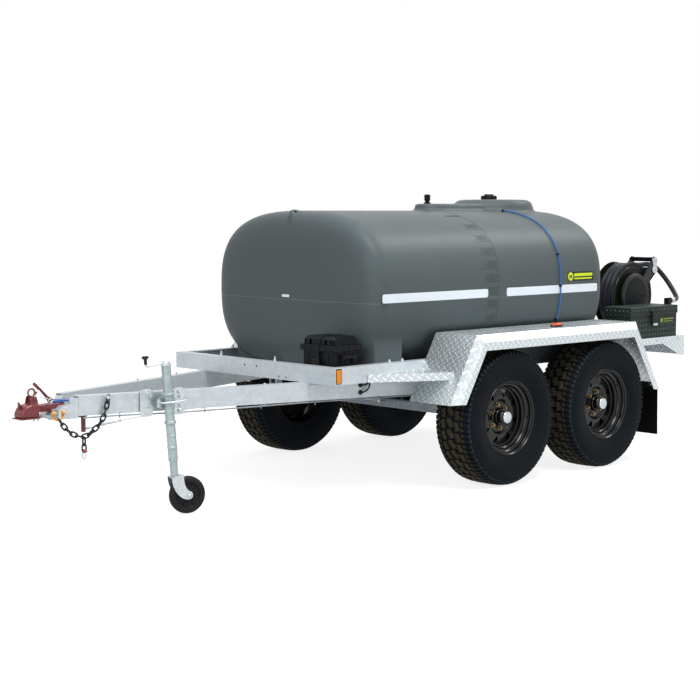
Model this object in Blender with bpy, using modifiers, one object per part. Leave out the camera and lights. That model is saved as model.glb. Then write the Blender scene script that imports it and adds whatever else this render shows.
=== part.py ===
"""Fuel tank trailer: tandem axle galvanised trailer with a poly tank, hose reel and pump box.

Metres, +Z up. The origin is on the ground at the middle of the trailer's length and width.
+X points to the rear of the trailer and the drawbar to -X. The near side is -Y.
"""
import math
import bpy
import bmesh
from mathutils import Matrix, Vector

for old in list(bpy.data.objects):
    bpy.data.objects.remove(old, do_unlink=True)

# Clearances
GAP = 0.0003
FIT = 0.0006

# Wheels
TYRE_R = 0.400
TYRE_W = 0.265
RIM_R = 0.220
RIM_W = 0.229
WHEEL_Y = 0.9005
AXLE_X = (0.2025, 1.1315)
STUB_R = 0.018
BEAM = 0.050
DISC_IN = 0.030
ROUND = 24
WINDOWS = 8

# Deck
DECK_X0 = -0.9105
DECK_X1 = 1.7025
DECK_HALF = 0.703
RAIL_Z0 = 0.650
RAIL_Z1 = 0.746
RAIL_T = 0.005
FLANGE = 0.050
FLOOR_T = 0.003
FLOOR_Z = RAIL_Z0 + RAIL_T + GAP + FLOOR_T
CROSS_X = (0.0525, 0.667, 1.3025)

# Drawbar
DRAW_X0 = -2.170
DRAW_X1 = -0.170
DRAW_Z0 = 0.546
DRAW_W = 0.052
DRAW_WALL = 0.005
DRAW_HALF_AT_DECK = 0.475
DRAW_SLOPE = 0.290

# Suspension
SPRING_Y = 0.673
SPRING_W = 0.045
SPRING_HALF = 0.330
EYE_Z = 0.505
LEAF = 0.008
ROCKER_ARM = 0.1345

# Mudguards
GUARD_Y = 1.015
SKIRT_Y = 1.052
SHEET = 0.003
GUARD_PATH = ((-0.3235, 0.517), (-0.1015, 0.899), (1.4355, 0.899), (1.7025, 0.455))
SKIRT_PATH = ((-0.2755, 0.520), (-0.0715, 0.860), (1.4025, 0.858), (1.6535, 0.452))
HEM_PATH = ((-0.2275, 0.516), (-0.0535, 0.811), (1.3745, 0.807), (1.5985, 0.457))
STEP_Z = 0.694
STEP_LIP = 0.045

# Rear platform
PLAT_X1 = 2.4375
PLAT_HALF = 0.720
PLAT_Z = 0.742
PLAT_T = 0.004
PAD_T = 0.0014
PLAT_LIP = 0.046
PLAT_DEEP = 0.137
LAMP_T = 0.036

# Tank
TANK_X0 = -0.6245
TANK_X1 = 1.5635
TANK_Z = 1.132
TANK_HY = 0.706
TANK_HZ = 0.472
TANK_POWER = 2.78
TANK_WALL = 0.009
TURRET_X = 1.2225
TURRET_R = 0.267
TURRET_TOP = 1.677
FILL_X = 1.180
NECK_R = 0.044
CAP_R = 0.052

# Battery box
BATT_X = (-0.832, -0.642)
BATT_Y = (-0.610, -0.358)
BATT_TOP = 0.822

# Pump box
PUMP_X = (1.8025, 2.3425)
PUMP_Y = (-0.715, -0.505)
PUMP_TOP = 0.900
PUMP_LID_TOP = 0.957
LID_OVER = 0.007
KNUCKLE_R = 0.0055
LATCH_X = 2.068
LATCH_HALF = 0.034
LATCH_Z = 0.933
BOX_WALL = 0.004

# Reel
REEL_X = 2.200
REEL_Z = 1.011
REEL_Y = (-0.440, -0.285)
REEL_R = 0.235
HOSE_R = 0.017
LOOPS = 4
COIL_R = 0.214
COVER_R = 0.160
STAND_NEAR = 0.022
STAND_FAR = 0.010
REEL_SHAFT = 0.015
ROLLER_X = 2.440
ROLLER_R = 0.012
ROLLER_GAP = 0.040
ROLLER_Z = REEL_Z + COIL_R

# Jockey wheel
POST_AT = Vector((-1.749, -0.315, 0.593))
POST_FOOT = Vector((-1.7225, -0.323, 0.203))
POST_R = 0.025
POST_BORE = 0.0218
LEG_R = 0.0212
POST_UP = 0.200
POST_DOWN = 0.303
TRAIL = 0.062

# Coupling
NOSE_X = -2.4735
CHAIN_WIRE = 0.004
CHAIN_LUG_X = -2.030
CHAIN_LUG_Z = 0.640
BLOCK_FACE = -2.2995
LUG_X = -2.292
LUG_Y = -0.101
LUG_Z = 0.5715
LINK_PITCH = 0.0340


def collection(name):
    group = bpy.data.collections.new(name)
    bpy.context.scene.collection.children.link(group)
    return group


PARTS = collection("fuel_tank_trailer")
WORK = collection("cutters")


def material(name, colour, rough, metal=0.0):
    mat = bpy.data.materials.new(name)
    mat.use_nodes = True
    node = mat.node_tree.nodes["Principled BSDF"]
    node.inputs["Base Color"].default_value = (*colour, 1.0)
    node.inputs["Roughness"].default_value = rough
    node.inputs["Metallic"].default_value = metal
    mat.diffuse_color = (*colour, 1.0)
    return mat


ZINC = ("galvanised", (0.50, 0.50, 0.47), 0.45, 0.85)
PLATE = ("checker_zinc", (0.55, 0.54, 0.50), 0.40, 0.85)
BLACK = ("black_steel", (0.02, 0.02, 0.02), 0.40, 0.4)
RUBBER = ("rubber", (0.03, 0.028, 0.025), 0.85, 0.0)
POLY = ("grey_poly", (0.20, 0.21, 0.23), 0.55, 0.0)
DARK = ("dark_plastic", (0.025, 0.025, 0.028), 0.50, 0.0)
RED = ("red_paint", (0.25, 0.02, 0.03), 0.40, 0.2)
BLUE = ("blue_plastic", (0.02, 0.10, 0.45), 0.40, 0.0)
LENS = ("red_lens", (0.45, 0.01, 0.01), 0.20, 0.0)


def work(mesh, name="piece"):
    """Put a mesh in the working collection as an object."""
    ob = bpy.data.objects.new(name, mesh)
    WORK.objects.link(ob)
    ob.hide_render = True
    ob.display_type = "WIRE"
    return ob


def from_bm(bm):
    bmesh.ops.recalc_face_normals(bm, faces=bm.faces)
    mesh = bpy.data.meshes.new("piece")
    bm.to_mesh(mesh)
    bm.free()
    return work(mesh)


def box(x, y, z, at=None):
    """A box from its limits along each axis, moved by a matrix when one is given."""
    bm = bmesh.new()
    bmesh.ops.create_cube(bm, size=1.0)
    size = Matrix.Diagonal((x[1] - x[0], y[1] - y[0], z[1] - z[0], 1.0))
    middle = Matrix.Translation(((x[0] + x[1]) / 2, (y[0] + y[1]) / 2, (z[0] + z[1]) / 2))
    bmesh.ops.transform(bm, matrix=middle @ size, verts=bm.verts)
    if at is not None:
        bmesh.ops.transform(bm, matrix=at, verts=bm.verts)
    return from_bm(bm)


def rod(start, end, radius, sides=20, radius_end=None, turn=0.0):
    """A cylinder or cone between two points."""
    start = Vector(start)
    end = Vector(end)
    way = end - start
    bm = bmesh.new()
    bmesh.ops.create_cone(bm, cap_ends=True, segments=sides, radius1=radius,
                          radius2=radius if radius_end is None else radius_end, depth=way.length)
    place = Matrix.Translation((start + end) / 2) @ way.to_track_quat("Z", "Y").to_matrix().to_4x4()
    bmesh.ops.transform(bm, matrix=place @ Matrix.Rotation(turn, 4, "Z"), verts=bm.verts)
    return from_bm(bm)


def baked(ob):
    """Replace an object by a plain mesh of its evaluated shape."""
    graph = bpy.context.evaluated_depsgraph_get()
    graph.update()
    mesh = bpy.data.meshes.new_from_object(ob.evaluated_get(graph))
    bm = bmesh.new()
    bm.from_mesh(mesh)
    bmesh.ops.transform(bm, matrix=ob.matrix_world, verts=bm.verts)
    bmesh.ops.remove_doubles(bm, verts=bm.verts, dist=0.00001)
    bpy.data.objects.remove(ob, do_unlink=True)
    return from_bm(bm)


def outline(points, frame, half):
    """A flat outline filled and made 2 x half thick, placed by a matrix."""
    curve = bpy.data.curves.new("outline", "CURVE")
    curve.dimensions = "2D"
    curve.fill_mode = "BOTH"
    curve.extrude = half
    line = curve.splines.new("POLY")
    line.points.add(len(points) - 1)
    for point, spot in zip(line.points, points):
        point.co = (spot[0], spot[1], 0.0, 1.0)
    line.use_cyclic_u = True
    ob = work(curve)
    ob.matrix_world = frame
    bpy.context.view_layer.update()
    return baked(ob)


def side_on(points, y0, y1):
    """An outline in X and Z, between two values of Y."""
    turn = Matrix(((1, 0, 0, 0), (0, 0, -1, (y0 + y1) / 2), (0, 1, 0, 0), (0, 0, 0, 1)))
    return outline(points, turn, abs(y1 - y0) / 2)


def end_on(points, x0, x1):
    """An outline in Y and Z, between two values of X."""
    turn = Matrix(((0, 0, 1, (x0 + x1) / 2), (1, 0, 0, 0), (0, 1, 0, 0), (0, 0, 0, 1)))
    return outline(points, turn, abs(x1 - x0) / 2)


def plan(points, z0, z1):
    """An outline in X and Y, between two heights."""
    return outline(points, Matrix.Translation((0, 0, (z0 + z1) / 2)), abs(z1 - z0) / 2)


def tube(points, radius, closed=False, detail=1):
    """A round tube along a line of points."""
    curve = bpy.data.curves.new("tube", "CURVE")
    curve.dimensions = "3D"
    curve.bevel_depth = radius
    curve.bevel_resolution = detail
    curve.use_fill_caps = not closed
    line = curve.splines.new("POLY")
    line.points.add(len(points) - 1)
    for point, spot in zip(line.points, points):
        point.co = (spot[0], spot[1], spot[2], 1.0)
    line.use_cyclic_u = closed
    return baked(work(curve))


def turned(profile, steps, place, closed=False):
    """A profile of (radius, height) points turned about Z, then placed by a matrix."""
    bm = bmesh.new()
    verts = [bm.verts.new((r, 0.0, h)) for r, h in profile]
    for a, b in zip(verts, verts[1:]):
        bm.edges.new((a, b))
    if closed:
        bm.edges.new((verts[-1], verts[0]))
    mesh = bpy.data.meshes.new("profile")
    bm.to_mesh(mesh)
    bm.free()
    ob = work(mesh)
    screw = ob.modifiers.new("turn", "SCREW")
    screw.steps = steps
    screw.render_steps = steps
    screw.use_merge_vertices = True
    screw.merge_threshold = 0.00001
    ob.matrix_world = place
    bpy.context.view_layer.update()
    return baked(ob)


def combined(base, others, operation):
    for other in others:
        step = base.modifiers.new(operation.lower(), "BOOLEAN")
        step.operation = operation
        step.solver = "EXACT"
        step.object = other
    base = baked(base)
    for other in others:
        bpy.data.objects.remove(other, do_unlink=True)
    return base


def joined(pieces):
    return pieces[0] if len(pieces) == 1 else combined(pieces[0], pieces[1:], "UNION")


def cut(base, cutters):
    return combined(base, cutters, "DIFFERENCE")


def rounded(ob, width, segments=2, angle=35.0):
    step = ob.modifiers.new("round", "BEVEL")
    step.width = width
    step.segments = segments
    step.limit_method = "ANGLE"
    step.angle_limit = math.radians(angle)
    step.use_clamp_overlap = True
    return baked(ob)


def part(name, ob, look, origin=(0, 0, 0), parent=None):
    """Name a finished piece, give it its origin, its material and its place in the trailer."""
    place = Matrix.Translation(Vector(origin))
    ob.data.transform(place.inverted())
    ob.matrix_world = place
    ob.name = name
    ob.data.name = name
    ob.hide_render = False
    ob.display_type = "TEXTURED"
    WORK.objects.unlink(ob)
    PARTS.objects.link(ob)
    ob.data.materials.clear()
    ob.data.materials.append(bpy.data.materials.get(look[0]) or material(*look))
    ob.data.shade_smooth()
    ob.data.set_sharp_from_angle(angle=math.radians(32))
    return ob


def about_y(x, y, z):
    """A frame whose Z axis runs along world Y."""
    return Matrix.Translation((x, y, z)) @ Matrix.Rotation(math.radians(-90), 4, "X")


def draw_half(x):
    """Half the spread of the drawbar's outer faces at x."""
    return DRAW_HALF_AT_DECK + DRAW_SLOPE * (x + 0.8975)


# Drawbar: two box members that run straight from the nose to under the side rails
DRAW_TOP = RAIL_Z0 - GAP
DRAW_RUN = math.hypot(1.0, DRAW_SLOPE)
for side, name in ((-1, "drawbar_near"), (1, "drawbar_far")):
    across = DRAW_W * DRAW_RUN
    skin = DRAW_WALL * DRAW_RUN
    ends = (DRAW_X0, DRAW_X1)
    body = plan([(ends[0], side * draw_half(ends[0])), (ends[1], side * draw_half(ends[1])),
                 (ends[1], side * (draw_half(ends[1]) - across)),
                 (ends[0], side * (draw_half(ends[0]) - across))], DRAW_Z0, DRAW_TOP)
    far = (ends[0] - 0.02, ends[1] + 0.02)
    bore = plan([(far[0], side * (draw_half(far[0]) - skin)), (far[1], side * (draw_half(far[1]) - skin)),
                 (far[1], side * (draw_half(far[1]) - across + skin)),
                 (far[0], side * (draw_half(far[0]) - across + skin))],
                DRAW_Z0 + DRAW_WALL, DRAW_TOP - DRAW_WALL)
    body = cut(body, [bore])
    if side < 0:
        face = Vector((CHAIN_LUG_X, -draw_half(CHAIN_LUG_X), CHAIN_LUG_Z))
        away = Vector((-DRAW_SLOPE, -1.0, 0)).normalized()
        body = joined([body, rod(face - away * 0.003, face + away * 0.040, 0.006, 10),
                       rod(face + away * 0.038, face + away * 0.044, 0.010, 6)])
    part(name, body, ZINC)

# Nose block: a cradle between the drawbar members that the coupling slides in
side_shape = side_on([(-2.320, 0.534), (-2.2485, 0.600), (-2.193, 0.605), (DRAW_X0 - GAP, 0.640),
                      (DRAW_X0 - GAP, 0.534)], -0.15, 0.15)
top_shape = plan([(-2.33, -0.0535), (DRAW_X0 + 0.01, -0.107), (DRAW_X0 + 0.01, 0.107), (-2.33, 0.0535)], 0.5, 0.7)
nose = combined(side_shape, [top_shape], "INTERSECT")
lug = box((LUG_X - 0.007, LUG_X + 0.007), (-0.118, -0.052), (0.545, LUG_Z + 0.018))
nose = cut(joined([nose, lug]), [box((-2.36, -2.10), (-0.034, 0.034), (0.5755, 0.70)),
                                 box((-2.36, BLOCK_FACE), (-0.0465, 0.0465), (0.50, 0.70)),
                                 rod((LUG_X - 0.02, LUG_Y, LUG_Z), (LUG_X + 0.02, LUG_Y, LUG_Z), 0.0065, 12)])
under = box((-2.2, -2.02), (-0.024, 0.024), (0.534, 0.542))
hang = side_on([(-2.10, 0.52), (-2.04, 0.52), (-2.04, 0.541), (-2.10, 0.541)], 0.008, 0.016)
stud = [rod((-2.190, 0.080, 0.6), (-2.190, 0.117, 0.6), 0.005, 12),
        rod((-2.190, 0.1152, 0.6), (-2.190, 0.121, 0.6), 0.009, 6)]
nose = joined([nose, under, hang] + stud)
part("coupling_mount", nose, ZINC)

# Coupling: cast head with a ball socket and a neck that slides in the nose block
head = side_on([(NOSE_X, 0.548), (NOSE_X + 0.012, 0.598), (NOSE_X + 0.045, 0.622), (-2.375, 0.624),
                (-2.360, 0.621), (-2.360, 0.545)], -0.045, 0.045)
head = rounded(head, 0.007, 2, 40)
neck = box((-2.385, -2.205), (-0.0336, 0.0336), (0.5759, 0.612))
ears = [box((-2.402, -2.368), (s - 0.004, s + 0.004), (0.60, 0.658)) for s in (-0.024, 0.024)]
head = joined([head, neck] + ears)
socket = [rod((-2.432, 0, 0.530), (-2.432, 0, 0.566), 0.0262, 16),
          rod((-2.432, 0, 0.5655), (-2.432, 0, 0.586), 0.0262, 16, 0.012),
          rod((-2.385, -0.06, 0.645), (-2.385, 0.06, 0.645), 0.0058, 10)]
socket = [joined(socket[:2]), socket[2]]
head = cut(head, socket)
part("coupling_head", head, RED)

# Coupling handle: a ring on a hinged shank between the head's ears
ring = tube([(-2.385 + 0.020 * math.cos(t * math.pi / 6), 0, 0.676 + 0.020 * math.sin(t * math.pi / 6))
             for t in range(12)], 0.0045, True, 0)
shank = box((-2.392, -2.378), (-0.0195, 0.0195), (0.638, 0.658))
axle = rod((-2.385, -0.0275, 0.645), (-2.385, 0.0275, 0.645), 0.0053, 10)
part("coupling_handle", joined([shank, ring, axle]), ZINC, (-2.385, 0, 0.645))

# Brake lever: a flat bar pivoted on the side of the nose block
PIVOT = (-2.190, 0.0, 0.600)
bar = side_on([(-2.292, 0.699), (-2.283, 0.704), (-2.212, 0.633), (-2.176, 0.612), (-2.170, 0.590),
               (-2.205, 0.585), (-2.222, 0.622)], 0.1085, 0.1145)
grip = rod((-2.296, 0.1115, 0.708), (-2.262, 0.1115, 0.674), 0.0085, 12)
bar = cut(joined([bar, grip]), [rod((-2.190, 0.08, 0.6), (-2.190, 0.13, 0.6), 0.0056, 12)])
part("brake_lever", bar, BLUE, PIVOT)

# Safety chain: a hanging loop and a loose end with a snap hook
def on_line(points, count):
    """Points evenly spaced along a smooth line through the given points."""
    dense = []
    full = [points[0]] + points + [points[-1]]
    for i in range(1, len(full) - 2):
        p0, p1, p2, p3 = (Vector(full[i + k]) for k in (-1, 0, 1, 2))
        for k in range(24):
            t = k / 24
            dense.append(0.5 * ((2 * p1) + (p2 - p0) * t + (2 * p0 - 5 * p1 + 4 * p2 - p3) * t * t
                                + (3 * p1 - p0 - 3 * p2 + p3) * t ** 3))
    dense.append(Vector(points[-1]))
    lengths = [0.0]
    for a, b in zip(dense, dense[1:]):
        lengths.append(lengths[-1] + (b - a).length)
    result = []
    j = 0
    for k in range(count + 1):
        want = lengths[-1] * k / count
        while j < len(dense) - 2 and lengths[j + 1] < want:
            j += 1
        span = max(lengths[j + 1] - lengths[j], 1e-9)
        result.append(dense[j].lerp(dense[j + 1], min(1.0, max(0.0, (want - lengths[j]) / span))))
    return result, lengths[-1]


def link(start, end, twist):
    """One oval chain link between two points, turned about its length."""
    way = (end - start)
    place = Matrix.Translation((start + end) / 2) @ way.to_track_quat("X", "Z").to_matrix().to_4x4()
    place = place @ Matrix.Rotation(twist, 4, "X")
    long_half = way.length / 2 + CHAIN_WIRE * 0.45
    wide = 0.0095
    spots = []
    for sx, sy in ((1, 0), (0.55, 1.0), (-0.55, 1.0), (-1, 0), (-0.55, -1.0), (0.55, -1.0)):
        spots.append(place @ Vector((sx * long_half, sy * wide, 0)))
    return tube(spots, CHAIN_WIRE, True, 0)


def chain(points, pitch):
    count = max(2, round(on_line(points, 4)[1] / pitch))
    spots, total = on_line(points, count)
    return [link(a, b, math.radians(52 + 90 * (k % 2))) for k, (a, b) in enumerate(zip(spots, spots[1:]))]


swag = [(-2.2885, -0.1035, 0.5230), (-2.2645, -0.110, 0.500), (-2.2263, -0.120, 0.4615), (-2.1802, -0.131, 0.4415),
        (-2.1594, -0.134, 0.4408), (-2.1352, -0.138, 0.447), (-2.1126, -0.144, 0.465), (-2.090, -0.150, 0.484),
        (-2.0718, -0.156, 0.506), (-2.060, -0.164, 0.530), (-2.050, -0.170, 0.565), (-2.042, -0.172, 0.600),
        (-2.0375, -0.172, 0.6265)]
tail_at = (-2.1605, -0.1345)
drop = [(*tail_at, 0.4345), (*tail_at, 0.400), (*tail_at, 0.367)]
links = chain(swag, LINK_PITCH) + chain(drop, LINK_PITCH)
hook = tube([(tail_at[0] + 0.010 * math.cos(a), tail_at[1], 0.349 + 0.022 * math.sin(a))
             for a in (k * math.pi / 4 for k in range(8))], 0.0035, True, 0)
part("safety_chain", joined(links + [hook]), ZINC)

# Shackle that holds the chain to the nose block's lug: pin along X, bow hanging below it
bow = [(LUG_X - 0.028, LUG_Y, LUG_Z), (LUG_X - 0.028, LUG_Y, LUG_Z - 0.014), (LUG_X - 0.018, LUG_Y, LUG_Z - 0.030),
       (LUG_X, LUG_Y, LUG_Z - 0.035), (LUG_X + 0.018, LUG_Y, LUG_Z - 0.030), (LUG_X + 0.028, LUG_Y, LUG_Z - 0.014),
       (LUG_X + 0.028, LUG_Y, LUG_Z)]
pin = joined([rod((LUG_X - 0.036, LUG_Y, LUG_Z), (LUG_X + 0.038, LUG_Y, LUG_Z), 0.0055, 12),
              rod((LUG_X - 0.0355, LUG_Y, LUG_Z), (LUG_X - 0.0205, LUG_Y, LUG_Z), 0.011, 12),
              rod((LUG_X + 0.0205, LUG_Y, LUG_Z), (LUG_X + 0.0355, LUG_Y, LUG_Z), 0.011, 12),
              tube(bow, 0.005, False, 0)])
part("chain_shackle", pin, BLUE)

# Deck frame: folded channel rails, the web outside and the flanges inward
def channel(outer, sign):
    """Outline of a channel whose web is at outer and whose flanges point the other way."""
    web = outer - sign * RAIL_T
    lip = outer - sign * FLANGE
    return [(outer, RAIL_Z0), (lip, RAIL_Z0), (lip, RAIL_Z0 + RAIL_T), (web, RAIL_Z0 + RAIL_T),
            (web, RAIL_Z1 - RAIL_T), (lip, RAIL_Z1 - RAIL_T), (lip, RAIL_Z1), (outer, RAIL_Z1)]


front = side_on(channel(DECK_X0, -1), -DECK_HALF, DECK_HALF)
holes = [rod((DECK_X0 - 0.01, y, 0.667), (DECK_X0 + 0.01, y, 0.667), 0.006, 10) for y in (-0.24, -0.30)]
part("deck_front_rail", cut(front, holes), ZINC)

RAIL_X0 = DECK_X0 + FLANGE + GAP
RAIL_X1 = DECK_X1 - GAP
EYES = (AXLE_X[0] - SPRING_HALF, (AXLE_X[0] + AXLE_X[1]) / 2, AXLE_X[1] + SPRING_HALF)
for side, name in ((-1, "side_rail_near"), (1, "side_rail_far")):
    rail = end_on(channel(side * DECK_HALF, side), RAIL_X0, RAIL_X1)
    extra = []
    for x, low in ((EYES[0], EYE_Z), (EYES[1], EYE_Z + 0.045), (EYES[2], EYE_Z)):
        for edge in (-1, 1):
            y = side * SPRING_Y + edge * (SPRING_W / 2 + 0.0065)
            extra.append(side_on([(x - 0.024, low - 0.024), (x + 0.024, low - 0.024),
                                  (x + 0.030, RAIL_Z0 + 0.001), (x - 0.030, RAIL_Z0 + 0.001)],
                                 y - 0.004, y + 0.004))
        extra.append(rod((x, side * SPRING_Y - SPRING_W / 2 - 0.016, low),
                         (x, side * SPRING_Y + SPRING_W / 2 + 0.016, low), 0.008, 10))
    part(name, joined([rail] + extra), ZINC)

# Deck floor on the lower flanges, with its cross-members below
floor = box((DECK_X0 + RAIL_T + GAP, DECK_X1 - GAP), (-DECK_HALF + RAIL_T + GAP, DECK_HALF - RAIL_T - GAP),
            (FLOOR_Z - FLOOR_T, FLOOR_Z))
inner = SPRING_Y - SPRING_W / 2 - 0.0105 - 2 * GAP
beams = [box((x - 0.025, x + 0.025), (-inner, inner), (0.606, FLOOR_Z - FLOOR_T + 0.001)) for x in CROSS_X]
part("deck_floor", joined([floor] + beams), PLATE)

# Rear platform: folded checker plate with deep rear panel and side gussets
px0 = DECK_X1
wide = PLAT_HALF - 0.002
top = box((px0 + 0.001, PLAT_X1 - 0.001), (-wide, wide), (PLAT_Z - PLAT_T, PLAT_Z - PAD_T))
pads = [box((PUMP_X[0] - 0.012, PUMP_X[1] + 0.012), (PUMP_Y[0] + 0.0005, PUMP_Y[1] + 0.010), (PLAT_Z - 0.003, PLAT_Z)),
        box((2.050, 2.340), (REEL_Y[0] - 0.036, REEL_Y[1] + 0.026), (PLAT_Z - 0.0031, PLAT_Z - 0.00005))]
back = box((PLAT_X1 - PLAT_T, PLAT_X1 - 0.0004), (-wide, wide), (PLAT_Z - PLAT_DEEP + 0.001, PLAT_Z - 0.002))
front = box((px0 + 0.0004, px0 + PLAT_T), (-wide, wide), (RAIL_Z0, PLAT_Z - 0.002))
pieces = [top, back, front] + pads
for side in (-1, 1):
    gusset = side_on([(px0, PLAT_Z), (PLAT_X1, PLAT_Z), (PLAT_X1, PLAT_Z - PLAT_DEEP), (2.395, PLAT_Z - PLAT_DEEP),
                      (2.180, PLAT_Z - PLAT_LIP), (px0, PLAT_Z - PLAT_LIP)],
                     side * PLAT_HALF, side * (PLAT_HALF - PLAT_T))
    beam = box((px0 + 0.002, PLAT_X1 - 0.002), (side * 0.45 - 0.025, side * 0.45 + 0.025),
               (RAIL_Z0 + 0.01, PLAT_Z - 0.002))
    pieces += [gusset, beam]
part("rear_platform", joined(pieces), PLATE)

# Tail lamps on the rear panel
for side, name in ((-1, "tail_lamp_near"), (1, "tail_lamp_far")):
    lamp = box((PLAT_X1 + GAP, PLAT_X1 + LAMP_T), (side * 0.58 - 0.11, side * 0.58 + 0.11),
               (PLAT_Z - 0.115, PLAT_Z - 0.02))
    part(name, rounded(lamp, 0.006, 1), LENS)

# Mudguards: top, bevel and skirt in one folded sheet, an inner wall and the corner step
for side, name in ((-1, "mudguard_near"), (1, "mudguard_far")):
    bm = bmesh.new()
    rows = []
    for top_at, skirt_at, hem_at in zip(GUARD_PATH, SKIRT_PATH, HEM_PATH):
        rows.append([bm.verts.new((top_at[0], side * (DECK_HALF + GAP), top_at[1])),
                     bm.verts.new((top_at[0], side * GUARD_Y, top_at[1])),
                     bm.verts.new((skirt_at[0], side * SKIRT_Y, skirt_at[1])),
                     bm.verts.new((hem_at[0], side * SKIRT_Y, hem_at[1]))])
    for a, b in zip(rows, rows[1:]):
        for k in range(3):
            bm.faces.new((a[k], a[k + 1], b[k + 1], b[k]))
    bmesh.ops.recalc_face_normals(bm, faces=bm.faces)
    mid = [f for f in bm.faces if abs(f.normal.z) > 0.9]
    if mid and mid[0].normal.z < 0:
        bmesh.ops.reverse_faces(bm, faces=bm.faces)
    mesh = bpy.data.meshes.new("guard")
    bm.to_mesh(mesh)
    bm.free()
    shell = work(mesh)
    thick = shell.modifiers.new("sheet", "SOLIDIFY")
    thick.thickness = SHEET
    thick.offset = -1.0
    thick.use_even_offset = True
    shell = baked(shell)
    low = 0.662
    ratio0 = (low - GUARD_PATH[0][1]) / (GUARD_PATH[1][1] - GUARD_PATH[0][1])
    x0 = GUARD_PATH[0][0] + ratio0 * (GUARD_PATH[1][0] - GUARD_PATH[0][0])
    ratio1 = (low - GUARD_PATH[3][1]) / (GUARD_PATH[2][1] - GUARD_PATH[3][1])
    x1 = GUARD_PATH[3][0] + ratio1 * (GUARD_PATH[2][0] - GUARD_PATH[3][0])
    wall = side_on([(x0 + 0.001, low), (GUARD_PATH[1][0] + 0.0007, GUARD_PATH[1][1] - 0.001),
                    (GUARD_PATH[2][0] - 0.0007, GUARD_PATH[2][1] - 0.001), (x1 - 0.001, low)],
                   side * (DECK_HALF + GAP), side * (DECK_HALF + GAP + SHEET))
    ratio = (STEP_Z - GUARD_PATH[0][1]) / (GUARD_PATH[1][1] - GUARD_PATH[0][1])
    meet = GUARD_PATH[0][0] + ratio * (GUARD_PATH[1][0] - GUARD_PATH[0][0]) + 0.0015
    tip = (-0.6695, side * (DECK_HALF + GAP))
    far = (meet, side * 0.955)
    step = plan([tip, far, (meet, side * (DECK_HALF + GAP))], STEP_Z - SHEET, STEP_Z)
    run = Vector((far[0] - tip[0], far[1] - tip[1], 0)).normalized()
    inward = Vector((run.y, -run.x, 0)) * (1 if run.y * side > 0 else -1)
    if inward.y * side > 0:
        inward = -inward
    a = Vector((tip[0], tip[1], 0)) + run * 0.0075
    b = Vector((far[0], far[1], 0)) - run * 0.0
    lip = plan([(a.x, a.y), (b.x, b.y), (b.x + inward.x * SHEET, b.y + inward.y * SHEET),
                (a.x + inward.x * SHEET, a.y + inward.y * SHEET)], STEP_Z - STEP_LIP, STEP_Z - 0.0005)
    part(name, joined([shell, wall, step, lip]), PLATE)

# Mudflaps hang from the rear slopes
slope = (Vector(GUARD_PATH[3]) - Vector(GUARD_PATH[2])).normalized()
inside = Vector((slope.y, -slope.x))
for side, name in ((-1, "mudflap_near"), (1, "mudflap_far")):
    face = Vector(GUARD_PATH[3]) + inside * (SHEET + GAP)
    start = face - slope * 0.042
    back_of = inside * 0.006
    flap = side_on([start, face, (face.x + 0.006, 0.150), (face.x, 0.150), face + back_of, start + back_of],
                   side * 0.765, side * 1.010)
    part(name, flap, RUBBER)

# Axles: square beams with round stubs for the hubs
for x, name in ((AXLE_X[0], "front_axle"), (AXLE_X[1], "rear_axle")):
    beam = box((x - BEAM / 2, x + BEAM / 2), (-0.735, 0.735), (TYRE_R - BEAM / 2, TYRE_R + BEAM / 2))
    stub = rod((x, -WHEEL_Y + 0.013, TYRE_R), (x, WHEEL_Y - 0.013, TYRE_R), STUB_R, 16)
    part(name, joined([beam, stub]), ZINC, (x, 0, TYRE_R))

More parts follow.
